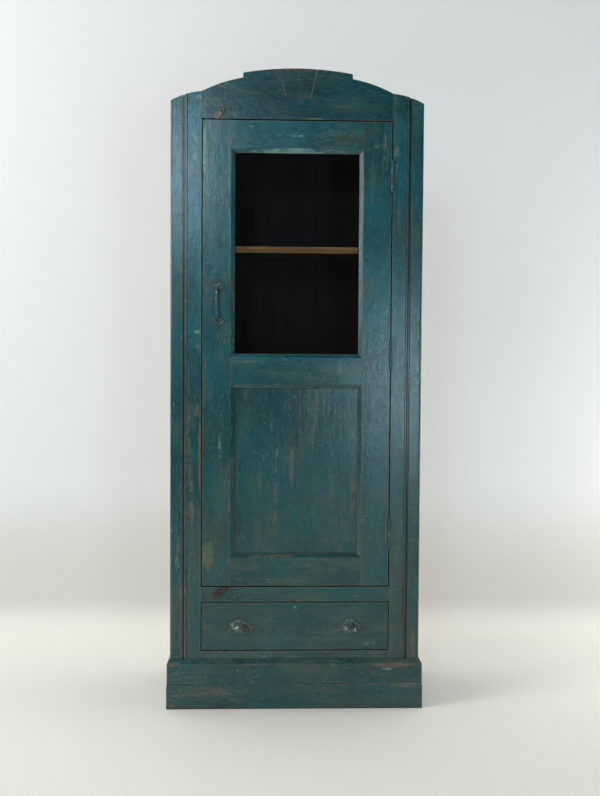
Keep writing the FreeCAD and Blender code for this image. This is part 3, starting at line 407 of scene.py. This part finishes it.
wornPlaces = {
    "doorLeft": {"pale": [spot("door_stile_left", 0.05, 0.93, (0.014, 0.17), 0.50),
                          spot("door_stile_left", 0.97, 0.78, (0.008, 0.24), 0.32),
                          spot("door_stile_left", 0.55, 0.30, (0.012, 0.10), 0.34)],
                 "moss": [spot("door_stile_left", 0.22, 0.065, (0.038, 0.095), 0.47)],
                 "green": [spot("door_stile_left", 0.45, 0.10, (0.060, 0.16), 0.42),
                           spot("door_stile_left", 0.50, 0.24, (0.050, 0.20), 0.36)],
                 "brown": [spot("door_stile_left", 0.02, 0.45, (0.008, 0.22), 0.36),
                           spot("door_stile_left", 0.12, 0.06, (0.016, 0.06), 0.36)]},
    "doorRight": {"brown": [spot("door_stile_right", 0.955, 0.12, (0.011, 0.085), 0.66),
                            spot("door_stile_right", 0.95, 0.28, (0.010, 0.14), 0.34),
                            spot("door_stile_right", 0.80, 0.04, (0.030, 0.05), 0.34)],
                  "green": [spot("door_stile_right", 0.60, 0.10, (0.080, 0.16), 0.30)],
                  "pale": [spot("door_stile_right", 0.45, 0.945, (0.040, 0.022), 0.36),
                           spot("door_stile_right", 0.03, 0.74, (0.009, 0.24), 0.40),
                           spot("door_stile_right", 0.25, 0.66, (0.020, 0.10), 0.32)]},
    "doorTop": {"pale": [spot("door_rail_top", 0.50, 0.06, (0.27, 0.018), 0.43),
                         spot("door_rail_top", 0.50, 0.54, (0.20, 0.009), 0.36),
                         spot("door_rail_top", 0.22, 0.72, (0.05, 0.030), 0.30),
                         spot("door_rail_top", 0.85, 0.62, (0.05, 0.030), 0.34)],
                "green": [spot("door_rail_top", 0.80, 0.55, (0.11, 0.04), 0.44),
                          spot("door_rail_top", 0.50, 0.30, (0.18, 0.02), 0.36)]},
    "doorBottom": {"green": [spot("door_rail_bottom", 0.45, 0.45, (0.20, 0.05), 0.34)],
                   "brown": [spot("door_rail_bottom", 0.35, 0.93, (0.16, 0.012), 0.40),
                             spot("door_rail_bottom", 0.50, 0.10, (0.22, 0.014), 0.32)]},
    "panel": {"brown": [spot("door_panel_left", 0.62, 0.66, (0.012, 0.10), 0.36),
                        spot("door_panel_left", 0.88, 0.52, (0.018, 0.14), 0.40),
                        spot("door_panel_left", 0.60, 0.94, (0.12, 0.012), 0.30),
                        spot("door_panel_right", 0.90, 0.40, (0.030, 0.22), 0.36),
                        spot("door_panel_right", 0.70, 0.62, (0.018, 0.12), 0.30),
                        spot("door_panel_right", 0.28, 0.80, (0.03, 0.03), 0.28)],
              "green": [spot("door_panel_left", 0.55, 0.10, (0.12, 0.08), 0.38),
                        spot("door_panel_left", 0.06, 0.40, (0.02, 0.26), 0.34),
                        spot("door_panel_right", 0.85, 0.85, (0.08, 0.10), 0.34)]},
    "stileLeft": {"brown": [spot("face_stile_left", 0.95, 0.42, (0.010, 0.22), 0.48),
                            spot("face_stile_left", 0.78, 0.49, (0.016, 0.06), 0.36)],
                  "pale": [spot("face_stile_left", 0.80, 0.615, (0.016, 0.010), 0.60),
                           spot("face_stile_left", 0.70, 0.990, (0.05, 0.018), 0.42)],
                  "green": [spot("face_stile_left", 0.60, 0.20, (0.05, 0.20), 0.28)]},
    "stileRight": {"green": [spot("face_stile_right", 0.40, 0.16, (0.06, 0.16), 0.40)],
                   "brown": [spot("face_stile_right", 0.70, 0.22, (0.010, 0.14), 0.40),
                             spot("face_stile_right", 0.10, 0.13, (0.012, 0.05), 0.40),
                             spot("face_stile_right", 0.30, 0.05, (0.02, 0.06), 0.36)]},
    "posts": {"brown": [spot("front_post_left", 0.65, 0.27, (0.014, 0.12), 0.36),
                        spot("front_post_right", 0.55, 0.10, (0.020, 0.12), 0.40),
                        spot("front_post_left", 0.30, 0.50, (0.012, 0.02), 0.40)],
              "green": [spot("front_post_right", 0.50, 0.28, (0.03, 0.20), 0.30)],
              "pale": [spot("front_post_left", 0.60, 0.24, (0.014, 0.05), 0.34)]},
    "head": {"brown": [spot("head_rail", 0.50, 1.00, (0.20, 0.016), 0.40),
                       spot("head_rail", 0.16, 0.62, (0.06, 0.020), 0.34)],
             "pale": [spot("head_rail", 0.58, 0.02, (0.06, 0.006), 0.40),
                      spot("head_rail", 0.52, 0.78, (0.05, 0.012), 0.30),
                      spot("head_rail", 0.40, 0.20, (0.03, 0.014), 0.28)],
             "green": [spot("head_rail", 0.20, 0.50, (0.10, 0.03), 0.36),
                       spot("head_rail", 0.45, 0.90, (0.18, 0.03), 0.36)]},
    "plinth": {"brown": [spot("plinth_upper_front", 0.02, 0.82, (0.05, 0.016), 0.46),
                         spot("plinth_upper_front", 0.35, 0.82, (0.20, 0.010), 0.36),
                         spot("plinth_upper_front", 0.88, 0.80, (0.13, 0.016), 0.46),
                         spot("plinth_lower_front", 0.02, 0.10, (0.03, 0.03), 0.40),
                         spot("plinth_lower_front", 0.92, 0.90, (0.10, 0.010), 0.40)],
               "pale": [spot("plinth_upper_front", 0.86, 0.62, (0.06, 0.010), 0.38)],
               "green": [spot("plinth_upper_front", 0.12, 0.35, (0.14, 0.04), 0.36),
                         spot("plinth_upper_front", 0.60, 0.70, (0.20, 0.02), 0.34)]},
    "drawer": {"pale": [spot("drawer_front", 0.50, 0.86, (0.009, 0.020), 0.46),
                        spot("drawer_front", 0.90, 0.14, (0.05, 0.018), 0.38),
                        spot("drawer_front", 0.985, 0.78, (0.008, 0.04), 0.36)],
               "green": [spot("drawer_front", 0.25, 0.12, (0.12, 0.03), 0.38)],
               "brown": [spot("drawer_front", 0.45, 0.02, (0.24, 0.008), 0.34)]},
}


def wornPaint(name, grain, where=None, **extra):
    return paintMaterial(name, grain, **wornPlaces.get(where, {}), **extra)


finishes = {
    "headPaint": wornPaint("headPaint", "x", "head", seed=2.0, darker=0.72),
    "railPaint": wornPaint("railPaint", "x", seed=5.0),
    "postPaint": wornPaint("postPaint", "z", "posts", seed=1.0),
    "stileLeftPaint": wornPaint("stileLeftPaint", "z", "stileLeft", seed=3.0),
    "stileRightPaint": wornPaint("stileRightPaint", "z", "stileRight", seed=4.0),
    "sidePaint": wornPaint("sidePaint", "z", seed=6.0, wear=0.5),
    "plinthPaint": wornPaint("plinthPaint", "x", "plinth", seed=7.0, darker=0.95),
    "plinthSidePaint": wornPaint("plinthSidePaint", "y", seed=8.0, darker=0.95),
    "doorLeftPaint": wornPaint("doorLeftPaint", "z", "doorLeft", seed=9.0),
    "doorRightPaint": wornPaint("doorRightPaint", "z", "doorRight", seed=10.0),
    "doorTopPaint": wornPaint("doorTopPaint", "x", "doorTop", seed=11.0),
    "doorMidPaint": wornPaint("doorMidPaint", "x", seed=12.0),
    "doorBottomPaint": wornPaint("doorBottomPaint", "x", "doorBottom", seed=13.0),
    "panelPaint": wornPaint("panelPaint", "z", "panel", seed=14.0, darker=0.92),
    "drawerPaint": wornPaint("drawerPaint", "x", "drawer", seed=15.0, wear=0.6),
    "oldGlass": glassMaterial(),
}
finishes["shelfWood"] = woodMaterial("shelfWood", "x", woods["shelfWood"])
finishes["backWood"] = woodMaterial("backWood", "z", woods["backWood"])
# the inner wood is painted near-black as shade inside the carcass
finishes["shadedInnerWood"] = woodMaterial("shadedInnerWood", "z", woods["shadedInnerWood"])
finishes["shadedInnerWoodAcross"] = woodMaterial("shadedInnerWoodAcross", "x", woods["shadedInnerWood"])
finishes["drawerWood"] = woodMaterial("drawerWood", "y", woods["drawerWood"])
finishes["drawerWoodAcross"] = woodMaterial("drawerWoodAcross", "x", woods["drawerWood"])
for metalName, metalLook in metals.items():
    finishes[metalName] = metalMaterial(metalName, metalLook)
print("finishes ready")


# meshes

def newPiece(name, bm, finish, body, nodes):
    bmesh.ops.recalc_face_normals(bm, faces=bm.faces)
    mesh = bpy.data.meshes.new(name)
    bm.to_mesh(mesh)
    bm.free()
    piece = bpy.data.objects.new(name, mesh)
    scene.collection.objects.link(piece)
    mesh.materials.append(finishes[finish])
    mesh.shade_smooth()
    mesh.set_sharp_from_angle(angle=math.radians(boards["shadeSharp"]))
    # big flat faces keep their own normals beside a narrow arris
    weighted = piece.modifiers.new("weightedNormals", "WEIGHTED_NORMAL")
    weighted.keep_sharp = True
    settle(piece, body, nodes)


def settle(piece, body, nodes):
    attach(piece, body)
    if nodes:
        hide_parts(*nodes)


def bodyOf(node):
    for name, nodes in frame["record"]["behaviour"]["bodies"].items():
        if node in nodes:
            return name


boards = {"arris": 0.0011, "segments": 2, "profile": 0.6, "step": 0.045, "sway": 0.00035, "waves": 9.0,
          "seedShift": 1.7, "sharp": 24, "flat": 0.5, "shadeSharp": 40}


def unevenFaces(bm, seed):
    # moves every corner a little inwards, by a slow noise
    bm.normal_update()
    offset = Vector((seed * boards["seedShift"], 0.3, 0))
    for vert in bm.verts:
        inward = 0.5 + 0.5 * noise.noise((vert.co + offset) * boards["waves"])
        vert.co -= vert.normal * (boards["sway"] * max(0.0, inward))


def easedBoard(node, finish, arris=None):
    # a copy of the board with its arrises eased and its faces a little uneven, never outside the original
    bm = bmesh.new()
    bm.from_mesh(frame["nodes"][node].data)
    bmesh.ops.remove_doubles(bm, verts=bm.verts, dist=weldDistance)
    bmesh.ops.dissolve_limit(bm, angle_limit=math.radians(boards["flat"]), verts=bm.verts, edges=bm.edges)
    bmesh.ops.recalc_face_normals(bm, faces=bm.faces)
    sharp = [edge for edge in bm.edges if len(edge.link_faces) == 2
             and edge.calc_face_angle() > math.radians(boards["sharp"])]
    bmesh.ops.bevel(bm, geom=sharp, offset=arris or boards["arris"], segments=boards["segments"],
                    profile=boards["profile"], affect="EDGES", clamp_overlap=True)
    low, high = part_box(node)
    size = high - low
    longest = max(range(3), key=lambda axis: size[axis])
    normal = Vector((0, 0, 0))
    normal[longest] = 1.0
    count = int(size[longest] / boards["step"])
    for index in range(1, count):
        point = low + normal * (size[longest] * index / count)
        everything = bm.verts[:] + bm.edges[:] + bm.faces[:]
        bmesh.ops.bisect_plane(bm, geom=everything, plane_co=point, plane_no=normal)
    unevenFaces(bm, len(node))
    newPiece(node + "_eased", bm, finish, bodyOf(node), [node])


boardFinishes = {
    "head_rail": "headPaint", "keystone": "headPaint", "mid_rail": "railPaint", "bottom_rail": "railPaint",
    "front_post_left": "postPaint", "front_post_right": "postPaint",
    "face_stile_left": "stileLeftPaint", "face_stile_right": "stileRightPaint",
    "side_board_left": "sidePaint", "side_board_right": "sidePaint",
    "plinth_upper_front": "plinthPaint", "plinth_lower_front": "plinthPaint",
    "plinth_upper_left": "plinthSidePaint", "plinth_upper_right": "plinthSidePaint",
    "plinth_lower_left": "plinthSidePaint", "plinth_lower_right": "plinthSidePaint",
    "door_stile_left": "doorLeftPaint", "door_stile_right": "doorRightPaint", "door_rail_top": "doorTopPaint",
    "door_rail_mid": "doorMidPaint", "door_rail_bottom": "doorBottomPaint",
    "door_panel_left": "panelPaint", "door_panel_right": "panelPaint", "drawer_front": "drawerPaint",
    "glazing_beads": "panelPaint",
    "shelf_upper": "shelfWood", "shelf_middle": "shelfWood", "shelf_lower": "shelfWood",
    "roof_board": "shadedInnerWoodAcross", "cabinet_floor": "shadedInnerWoodAcross", "bottom_board": "shadedInnerWoodAcross",
    "rear_post_left": "shadedInnerWood", "rear_post_right": "shadedInnerWood",
    "drawer_side_left": "drawerWood", "drawer_side_right": "drawerWood", "drawer_back": "drawerWoodAcross",
    "turn_button_top": "buttonWorn", "turn_button_bottom": "buttonRusty",
}
smallArris = {"turn_button_top": 0.0009, "turn_button_bottom": 0.0009, "glazing_beads": 0.0006,
              "head_rail": 0.0007, "keystone": 0.0009, "face_stile_left": 0.0007, "face_stile_right": 0.0007,
              "drawer_side_left": 0.0005, "drawer_side_right": 0.0005, "drawer_back": 0.0005}
for boardNode, boardFinish in boardFinishes.items():
    easedBoard(boardNode, boardFinish, smallArris.get(boardNode))
print("boards eased:", len(boardFinishes))

# carried-over solids get their finish

plainFinishes = {
    "shadedInnerWood": ["door_stop_strips"],
    "drawerWood": ["drawer_runners", "drawer_guides", "drawer_kickers", "drawer_bottom"],
    "drawerWoodAcross": ["drawer_stops"],
    "oldGlass": ["window_glass"],
    "hingeIron": ["hinge_frame_leaves", "hinge_door_leaves", "hinge_pins"],
    "handleIron": ["door_handle"],
    "pullIron": ["cup_pull_left", "cup_pull_right"],
    "lockSteel": ["lock_case", "lock_bolt"],
}
for plainFinish, plainNodes in plainFinishes.items():
    for plainNode in plainNodes:
        for plainSlot in frame["nodes"][plainNode].material_slots:
            plainSlot.material = finishes[plainFinish]
print("carried-over solids finished")

# repeated fixings and strips, made by node trees

class GeometryTree:
    # a modifier's tree with named inputs, one geometry in and one out
    def __init__(self, name, inputs):
        self.group = bpy.data.node_groups.new(name, "GeometryNodeTree")
        self.group.is_modifier = True
        self.inputs = [("Geometry", "Geometry")] + inputs
        for label, kind in self.inputs:
            self.group.interface.new_socket(label, in_out="INPUT", socket_type="NodeSocket" + kind)
        self.group.interface.new_socket("Geometry", in_out="OUTPUT", socket_type="NodeSocketGeometry")
        self.start = self.group.nodes.new("NodeGroupInput")
        self.end = self.group.nodes.new("NodeGroupOutput")

    def given(self, label):
        return self.start.outputs[label]

    def add(self, kind, inputs=None, **settings):
        item = self.group.nodes.new(kind)
        for key, value in settings.items():
            setattr(item, key, value)
        for key, value in (inputs or {}).items():
            if isinstance(value, bpy.types.NodeSocket):
                self.group.links.new(value, item.inputs[key])
            else:
                item.inputs[key].default_value = value
        return item

    def finish(self, geometry):
        # every tree ends as one real mesh with its finish on it
        whole = self.add("GeometryNodeRealizeInstances", {0: geometry}).outputs[0]
        coated = self.add("GeometryNodeSetMaterial", {"Geometry": whole, "Material": self.given("Finish")})
        self.group.links.new(coated.outputs[0], self.end.inputs[0])

    def grow(self, name, points, values):
        # runs the tree over loose points and keeps only the mesh that it gives
        seedMesh = bpy.data.meshes.new(name + "_points")
        seedMesh.from_pydata([tuple(point) for point in points], [], [])
        source = bpy.data.objects.new(name + "_source", seedMesh)
        scene.collection.objects.link(source)
        modifier = source.modifiers.new("grow", "NODES")
        modifier.node_group = self.group
        for item in self.group.interface.items_tree:
            if item.item_type == "SOCKET" and item.in_out == "INPUT" and item.name in values:
                modifier[item.identifier] = values[item.name]
        graph = bpy.context.evaluated_depsgraph_get()
        mesh = bpy.data.meshes.new_from_object(source.evaluated_get(graph))
        bpy.data.objects.remove(source)
        bm = bmesh.new()
        bm.from_mesh(mesh)
        bpy.data.meshes.remove(mesh)
        return bm


def screwTree():
    tree = GeometryTree("slottedScrews", [
        ("Head Base", "Float"), ("Head Top", "Float"), ("Head Height", "Float"), ("Slot Width", "Float"),
        ("Slot Depth", "Float"), ("Shank", "Float"), ("Length", "Float"), ("Facing", "Vector"),
        ("Seed", "Int"), ("Finish", "Material")])
    head = tree.add("GeometryNodeMeshCone", {
        "Vertices": screwSides["head"], "Radius Top": tree.given("Head Top"),
        "Radius Bottom": tree.given("Head Base"), "Depth": tree.given("Head Height")}).outputs["Mesh"]
    wide = tree.add("ShaderNodeMath", {0: tree.given("Head Base"), 1: tree.given("Head Top")},
                    operation="ADD").outputs[0]
    wide = tree.add("ShaderNodeMath", {0: wide, 1: 2.0}, operation="MULTIPLY").outputs[0]
    deep = tree.add("ShaderNodeMath", {0: tree.given("Slot Depth"), 1: 2.0}, operation="MULTIPLY").outputs[0]
    size = tree.add("ShaderNodeCombineXYZ", {0: wide, 1: tree.given("Slot Width"), 2: deep}).outputs[0]
    bar = tree.add("GeometryNodeMeshCube", {"Size": size}).outputs["Mesh"]
    lift = tree.add("ShaderNodeCombineXYZ", {2: tree.given("Head Height")}).outputs[0]
    bar = tree.add("GeometryNodeTransform", {"Geometry": bar, "Translation": lift}).outputs[0]
    slotted = tree.add("GeometryNodeMeshBoolean", {0: head, 1: bar}, operation="DIFFERENCE").outputs[0]
    shank = tree.add("GeometryNodeMeshCylinder", {
        "Vertices": screwSides["shank"], "Radius": tree.given("Shank"),
        "Depth": tree.given("Length")}).outputs["Mesh"]
    half = tree.add("ShaderNodeMath", {0: tree.given("Length"), 1: -0.5}, operation="MULTIPLY").outputs[0]
    drop = tree.add("ShaderNodeCombineXYZ", {2: half}).outputs[0]
    shank = tree.add("GeometryNodeTransform", {"Geometry": shank, "Translation": drop}).outputs[0]
    join = tree.add("GeometryNodeJoinGeometry")
    tree.group.links.new(slotted, join.inputs[0])
    tree.group.links.new(shank, join.inputs[0])
    placed = tree.add("GeometryNodeInstanceOnPoints", {
        "Points": tree.given("Geometry"), "Instance": join.outputs[0],
        "Rotation": tree.given("Facing")}).outputs[0]
    twist = tree.add("FunctionNodeRandomValue", {"Seed": tree.given("Seed")}, data_type="FLOAT")
    twist.inputs[3].default_value = math.pi
    turn = tree.add("ShaderNodeCombineXYZ", {2: twist.outputs[1]}).outputs[0]
    placed = tree.add("GeometryNodeRotateInstances", {"Instances": placed, "Rotation": turn}).outputs[0]
    tree.finish(placed)
    return tree


def stripTree():
    tree = GeometryTree("plainStrips", [("Board", "Vector"), ("Steps Deep", "Int"), ("Steps High", "Int"),
                                        ("Finish", "Material")])
    board = tree.add("GeometryNodeMeshCube", {
        "Size": tree.given("Board"), "Vertices Y": tree.given("Steps Deep"),
        "Vertices Z": tree.given("Steps High")}).outputs["Mesh"]
    tree.finish(tree.add("GeometryNodeInstanceOnPoints", {
        "Points": tree.given("Geometry"), "Instance": board}).outputs[0])
    return tree


def islandBoxes(node):
    # the box of each separate solid of a node, found by walking its edges
    bm = bmesh.new()
    bm.from_mesh(frame["nodes"][node].data)
    bmesh.ops.remove_doubles(bm, verts=bm.verts, dist=weldDistance)
    seen, boxes = set(), []
    for first in bm.verts:
        if first in seen:
            continue
        seen.add(first)
        waiting, found = [first], []
        while waiting:
            vert = waiting.pop()
            found.append(vert.co.copy())
            for edge in vert.link_edges:
                other = edge.other_vert(vert)
                if other not in seen:
                    seen.add(other)
                    waiting.append(other)
        low = Vector([min(co[axis] for co in found) for axis in range(3)])
        high = Vector([max(co[axis] for co in found) for axis in range(3)])
        boxes.append((low, high))
    bm.free()
    return boxes


screwSides = {"head": 28, "shank": 14}
screws = {
    "door_handle_screws": {"base": 0.0034, "top": 0.0026, "height": 0.0016, "shank": 0.0020, "length": 0.0160,
                           "facing": "front", "seed": 3},
    "cup_pull_screws": {"base": 0.0032, "top": 0.0024, "height": 0.0014, "shank": 0.0015, "length": 0.0140,
                        "facing": "front", "seed": 8},
    "turn_button_fixings": {"base": 0.0045, "top": 0.0035, "height": 0.0020, "shank": 0.0020, "length": 0.0180,
                            "facing": "front", "seed": 5},
    "hinge_frame_screws": {"base": 0.0016, "top": 0.0032, "height": 0.0018, "shank": 0.0016, "length": 0.0130,
                           "facing": "left", "seed": 11},
    "hinge_door_screws": {"base": 0.0016, "top": 0.0032, "height": 0.0018, "shank": 0.0016, "length": 0.0130,
                          "facing": "right", "seed": 12},
}
facings = {"front": (math.pi / 2, 0, 0), "left": (0, -math.pi / 2, 0), "right": (0, math.pi / 2, 0)}
slotWidth, slotDepth = 0.0011, 0.0008
washer = {"thickest": 0.002, "sides": 32, "rim": 0.93}


def makeScrews():
    tree = screwTree()
    for node, look in screws.items():
        points, washers = [], []
        for low, high in islandBoxes(node):
            middle = (low + high) / 2
            if high.y - low.y < washer["thickest"] and look["facing"] == "front":
                washers.append((low, high))
            elif look["facing"] == "front":
                points.append((middle.x, low.y + look["height"], middle.z))
            elif look["facing"] == "left":
                points.append((low.x + look["height"], middle.y, middle.z))
            else:
                points.append((high.x - look["height"], middle.y, middle.z))
        bm = tree.grow(node, points, {
            "Head Base": look["base"], "Head Top": look["top"], "Head Height": look["height"],
            "Slot Width": slotWidth, "Slot Depth": slotDepth, "Shank": look["shank"], "Length": look["length"],
            "Facing": facings[look["facing"]], "Seed": look["seed"], "Finish": finishes["screwSteel"]})
        for low, high in washers:
            addWasher(bm, (low + high) / 2, (high.x - low.x) / 2, look["shank"], high.y - low.y)
        newPiece(node + "_slotted", bm, "screwSteel", bodyOf(node), [node])


def addWasher(bm, centre, outer, inner, thickness):
    # a ring with a slightly chamfered front
    rings, sides = [], washer["sides"]
    outline = ((inner, -0.5), (outer * washer["rim"], -0.5), (outer, -0.2), (outer, 0.5), (inner, 0.5))
    for radius, depth in outline:
        rings.append([bm.verts.new(centre + Vector((radius * math.cos(turn), depth * thickness,
                                                    radius * math.sin(turn))))
                      for turn in (math.tau * step / sides for step in range(sides))])
    for index, ring in enumerate(rings):
        following = rings[(index + 1) % len(rings)]
        for step in range(sides):
            after = (step + 1) % sides
            bm.faces.new((ring[step], ring[after], following[after], following[step]))


strips = {"backBoards": 5, "backLap": 0.0012, "backSteps": 30, "cleatSteps": 6,
          "sharp": 1.0}


def makeStrips(node, finish, points, size, steps):
    # equal boards on the given points, their arrises eased and their faces a little uneven
    bm = stripTree().grow(node, points, {"Board": tuple(size), "Steps Deep": steps[0], "Steps High": steps[1],
                                         "Finish": finishes[finish]})
    sharp = [edge for edge in bm.edges if len(edge.link_faces) == 2
             and edge.calc_face_angle() > strips["sharp"]]
    bmesh.ops.bevel(bm, geom=sharp, offset=boards["arris"], segments=boards["segments"], affect="EDGES",
                    clamp_overlap=True)
    unevenFaces(bm, len(node))
    newPiece(node + "_eased", bm, finish, bodyOf(node), [node])


def makeCleatsAndBack():
    cleats = islandBoxes("shelf_cleats")
    makeStrips("shelf_cleats", "shadedInnerWoodAcross", [(low + high) / 2 for low, high in cleats],
               cleats[0][1] - cleats[0][0], (strips["cleatSteps"], 2))
    low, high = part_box("back_boards")
    size = high - low
    count = strips["backBoards"]
    width = size.x / count + strips["backLap"]
    pitch = (size.x - width) / (count - 1)
    points = [(low.x + width / 2 + pitch * index, (low.y + high.y) / 2, (low.z + high.z) / 2)
              for index in range(count)]
    makeStrips("back_boards", "backWood", points, (width, size.y, size.z), (2, strips["backSteps"]))


makeScrews()
makeCleatsAndBack()
print("screws, cleats and back boards made")

# room, lights and camera

# the darker band colour in the room is a painted shadow along the cove
room = {"wallGap": 0.75, "coveRadius": 0.35, "halfWidth": 6.0, "near": -6.0, "height": 5.0,
        "coveSteps": 12, "coveShadeTop": 0.10, "wallFrom": 0.55, "floor": rgb(0.90, 0.88, 0.80),
        "coveShade": rgb(0.66, 0.645, 0.59), "wall": rgb(0.83, 0.83, 0.83), "rough": 0.75, "specular": 0.2}


def roomMaterial():
    tree = Tree("paleRoom")
    here = tree.add("TexCoord").outputs["Object"]
    split = tree.add("SeparateXYZ", {0: here}).outputs[2]
    # painted shadow: the cove between floor and wall is coloured darker
    colour = tree.mix(tree.ramp(split, 0.0, room["coveShadeTop"]), room["floor"], room["coveShade"])
    colour = tree.mix(tree.ramp(split, room["coveShadeTop"], room["wallFrom"]), colour, room["wall"])
    shader = tree.add("BsdfPrincipled", {"Base Color": colour, "Roughness": room["rough"]})
    shader.inputs["Specular IOR Level"].default_value = room["specular"]
    # the wall's far side is open, so that the back can be seen from behind
    behind = tree.add("NewGeometry").outputs["Backfacing"]
    clear = tree.add("BsdfTransparent").outputs[0]
    oneSided = tree.add("MixShader", {0: behind, 1: shader.outputs[0], 2: clear}).outputs[0]
    tree.add("OutputMaterial", {"Surface": oneSided})
    return tree.material


def makeRoom():
    wallY = cadBox[1].y + room["wallGap"]
    radius = room["coveRadius"]
    outline = [(room["near"], 0.0)]
    for step in range(room["coveSteps"] + 1):
        angle = math.radians(90 / room["coveSteps"] * step)
        outline.append((wallY - radius + radius * math.sin(angle), radius - radius * math.cos(angle)))
    outline.append((wallY, room["height"]))
    bm = bmesh.new()
    rows = [[bm.verts.new((side * room["halfWidth"], y, z)) for y, z in outline] for side in (-1, 1)]
    for index in range(len(outline) - 1):
        face = bm.faces.new((rows[0][index], rows[1][index], rows[1][index + 1], rows[0][index + 1]))
        face.smooth = True
    mesh = bpy.data.meshes.new("paleRoom")
    bm.to_mesh(mesh)
    bm.free()
    mesh.materials.append(roomMaterial())
    mesh.shade_smooth()
    backdrop = bpy.data.objects.new("paleRoom", mesh)
    scene.collection.objects.link(backdrop)


lights = [
    {"name": "keyLeft", "at": (-3.2, -1.70, 2.3), "aim": (0.0, -0.1, 1.2), "size": (1.9, 2.4), "power": 84},
    {"name": "highLeft", "at": (-1.0, -5.2, 2.40), "aim": (-0.2, 0.0, 1.5), "size": (0.7, 0.9), "power": 40,
     "tint": (0.58, 0.86, 1.0)},
    {"name": "rightWindow", "at": (1.12, -5.2, 0.82), "aim": (0.3, 0.0, 0.9), "size": (0.55, 1.1), "power": 25,
     "tint": (0.62, 0.88, 1.0)},
    {"name": "topSoft", "at": (0.2, -0.1, 4.4), "aim": (0.2, -0.8, 0.0), "size": (4.0, 1.6), "power": 46},
    {"name": "wallLeft", "at": (-2.6, 0.15, 2.2), "aim": (-0.3, 1.0, 1.6), "size": (0.8, 1.4), "power": 11},
    {"name": "wallRight", "at": (2.7, 0.05, 0.8), "aim": (0.6, 0.6, 0.3), "size": (0.8, 1.4), "power": 34},
]


surround = {"tint": rgb(0.95, 0.97, 1.0), "asLight": 0.04, "asSeen": 0.70}


def makeLights():
    for look in lights:
        data = bpy.data.lights.new(look["name"], "AREA")
        data.shape = "RECTANGLE"
        data.size, data.size_y = look["size"]
        data.energy = look["power"]
        data.color = look.get("tint", (1.0, 0.99, 0.97))
        lamp = bpy.data.objects.new(look["name"], data)
        scene.collection.objects.link(lamp)
        lamp.location = look["at"]
        lamp.rotation_euler = (Vector(look["aim"]) - Vector(look["at"])).to_track_quat("-Z", "Y").to_euler()
    world = bpy.data.worlds.new("softWorld")
    world.use_nodes = True
    # dim as a light, pale as a surround
    background = world.node_tree.nodes["Background"]
    background.inputs[0].default_value = surround["tint"]
    seen = world.node_tree.nodes.new("ShaderNodeLightPath").outputs["Is Camera Ray"]
    level = world.node_tree.nodes.new("ShaderNodeMapRange")
    level.inputs[3].default_value = surround["asLight"]
    level.inputs[4].default_value = surround["asSeen"]
    world.node_tree.links.new(seen, level.inputs[0])
    world.node_tree.links.new(level.outputs[0], background.inputs[1])
    scene.world = world


camera = {"right": -0.1105, "back": 3.2, "up": 1.0492, "yaw": 2.173, "pitch": 2.469, "roll": 0.359,
          "lens": 49.816, "sensor": 36.0}


def makeCamera():
    data = bpy.data.cameras.new("camera")
    data.lens = camera["lens"]
    data.sensor_width = camera["sensor"]
    eye = bpy.data.objects.new("camera", data)
    scene.collection.objects.link(eye)
    turn = (Matrix.Rotation(math.radians(-camera["yaw"]), 3, "Z")
            @ Matrix.Rotation(math.radians(90 - camera["pitch"]), 3, "X")
            @ Matrix.Rotation(math.radians(camera["roll"]), 3, "Z"))
    eye.rotation_euler = turn.to_euler()
    eye.location = (camera["right"], frontY - camera["back"], camera["up"])
    scene.camera = eye


makeRoom()
makeLights()
makeCamera()
scene.view_settings.view_transform = "Standard"
print("room, lights and camera ready")
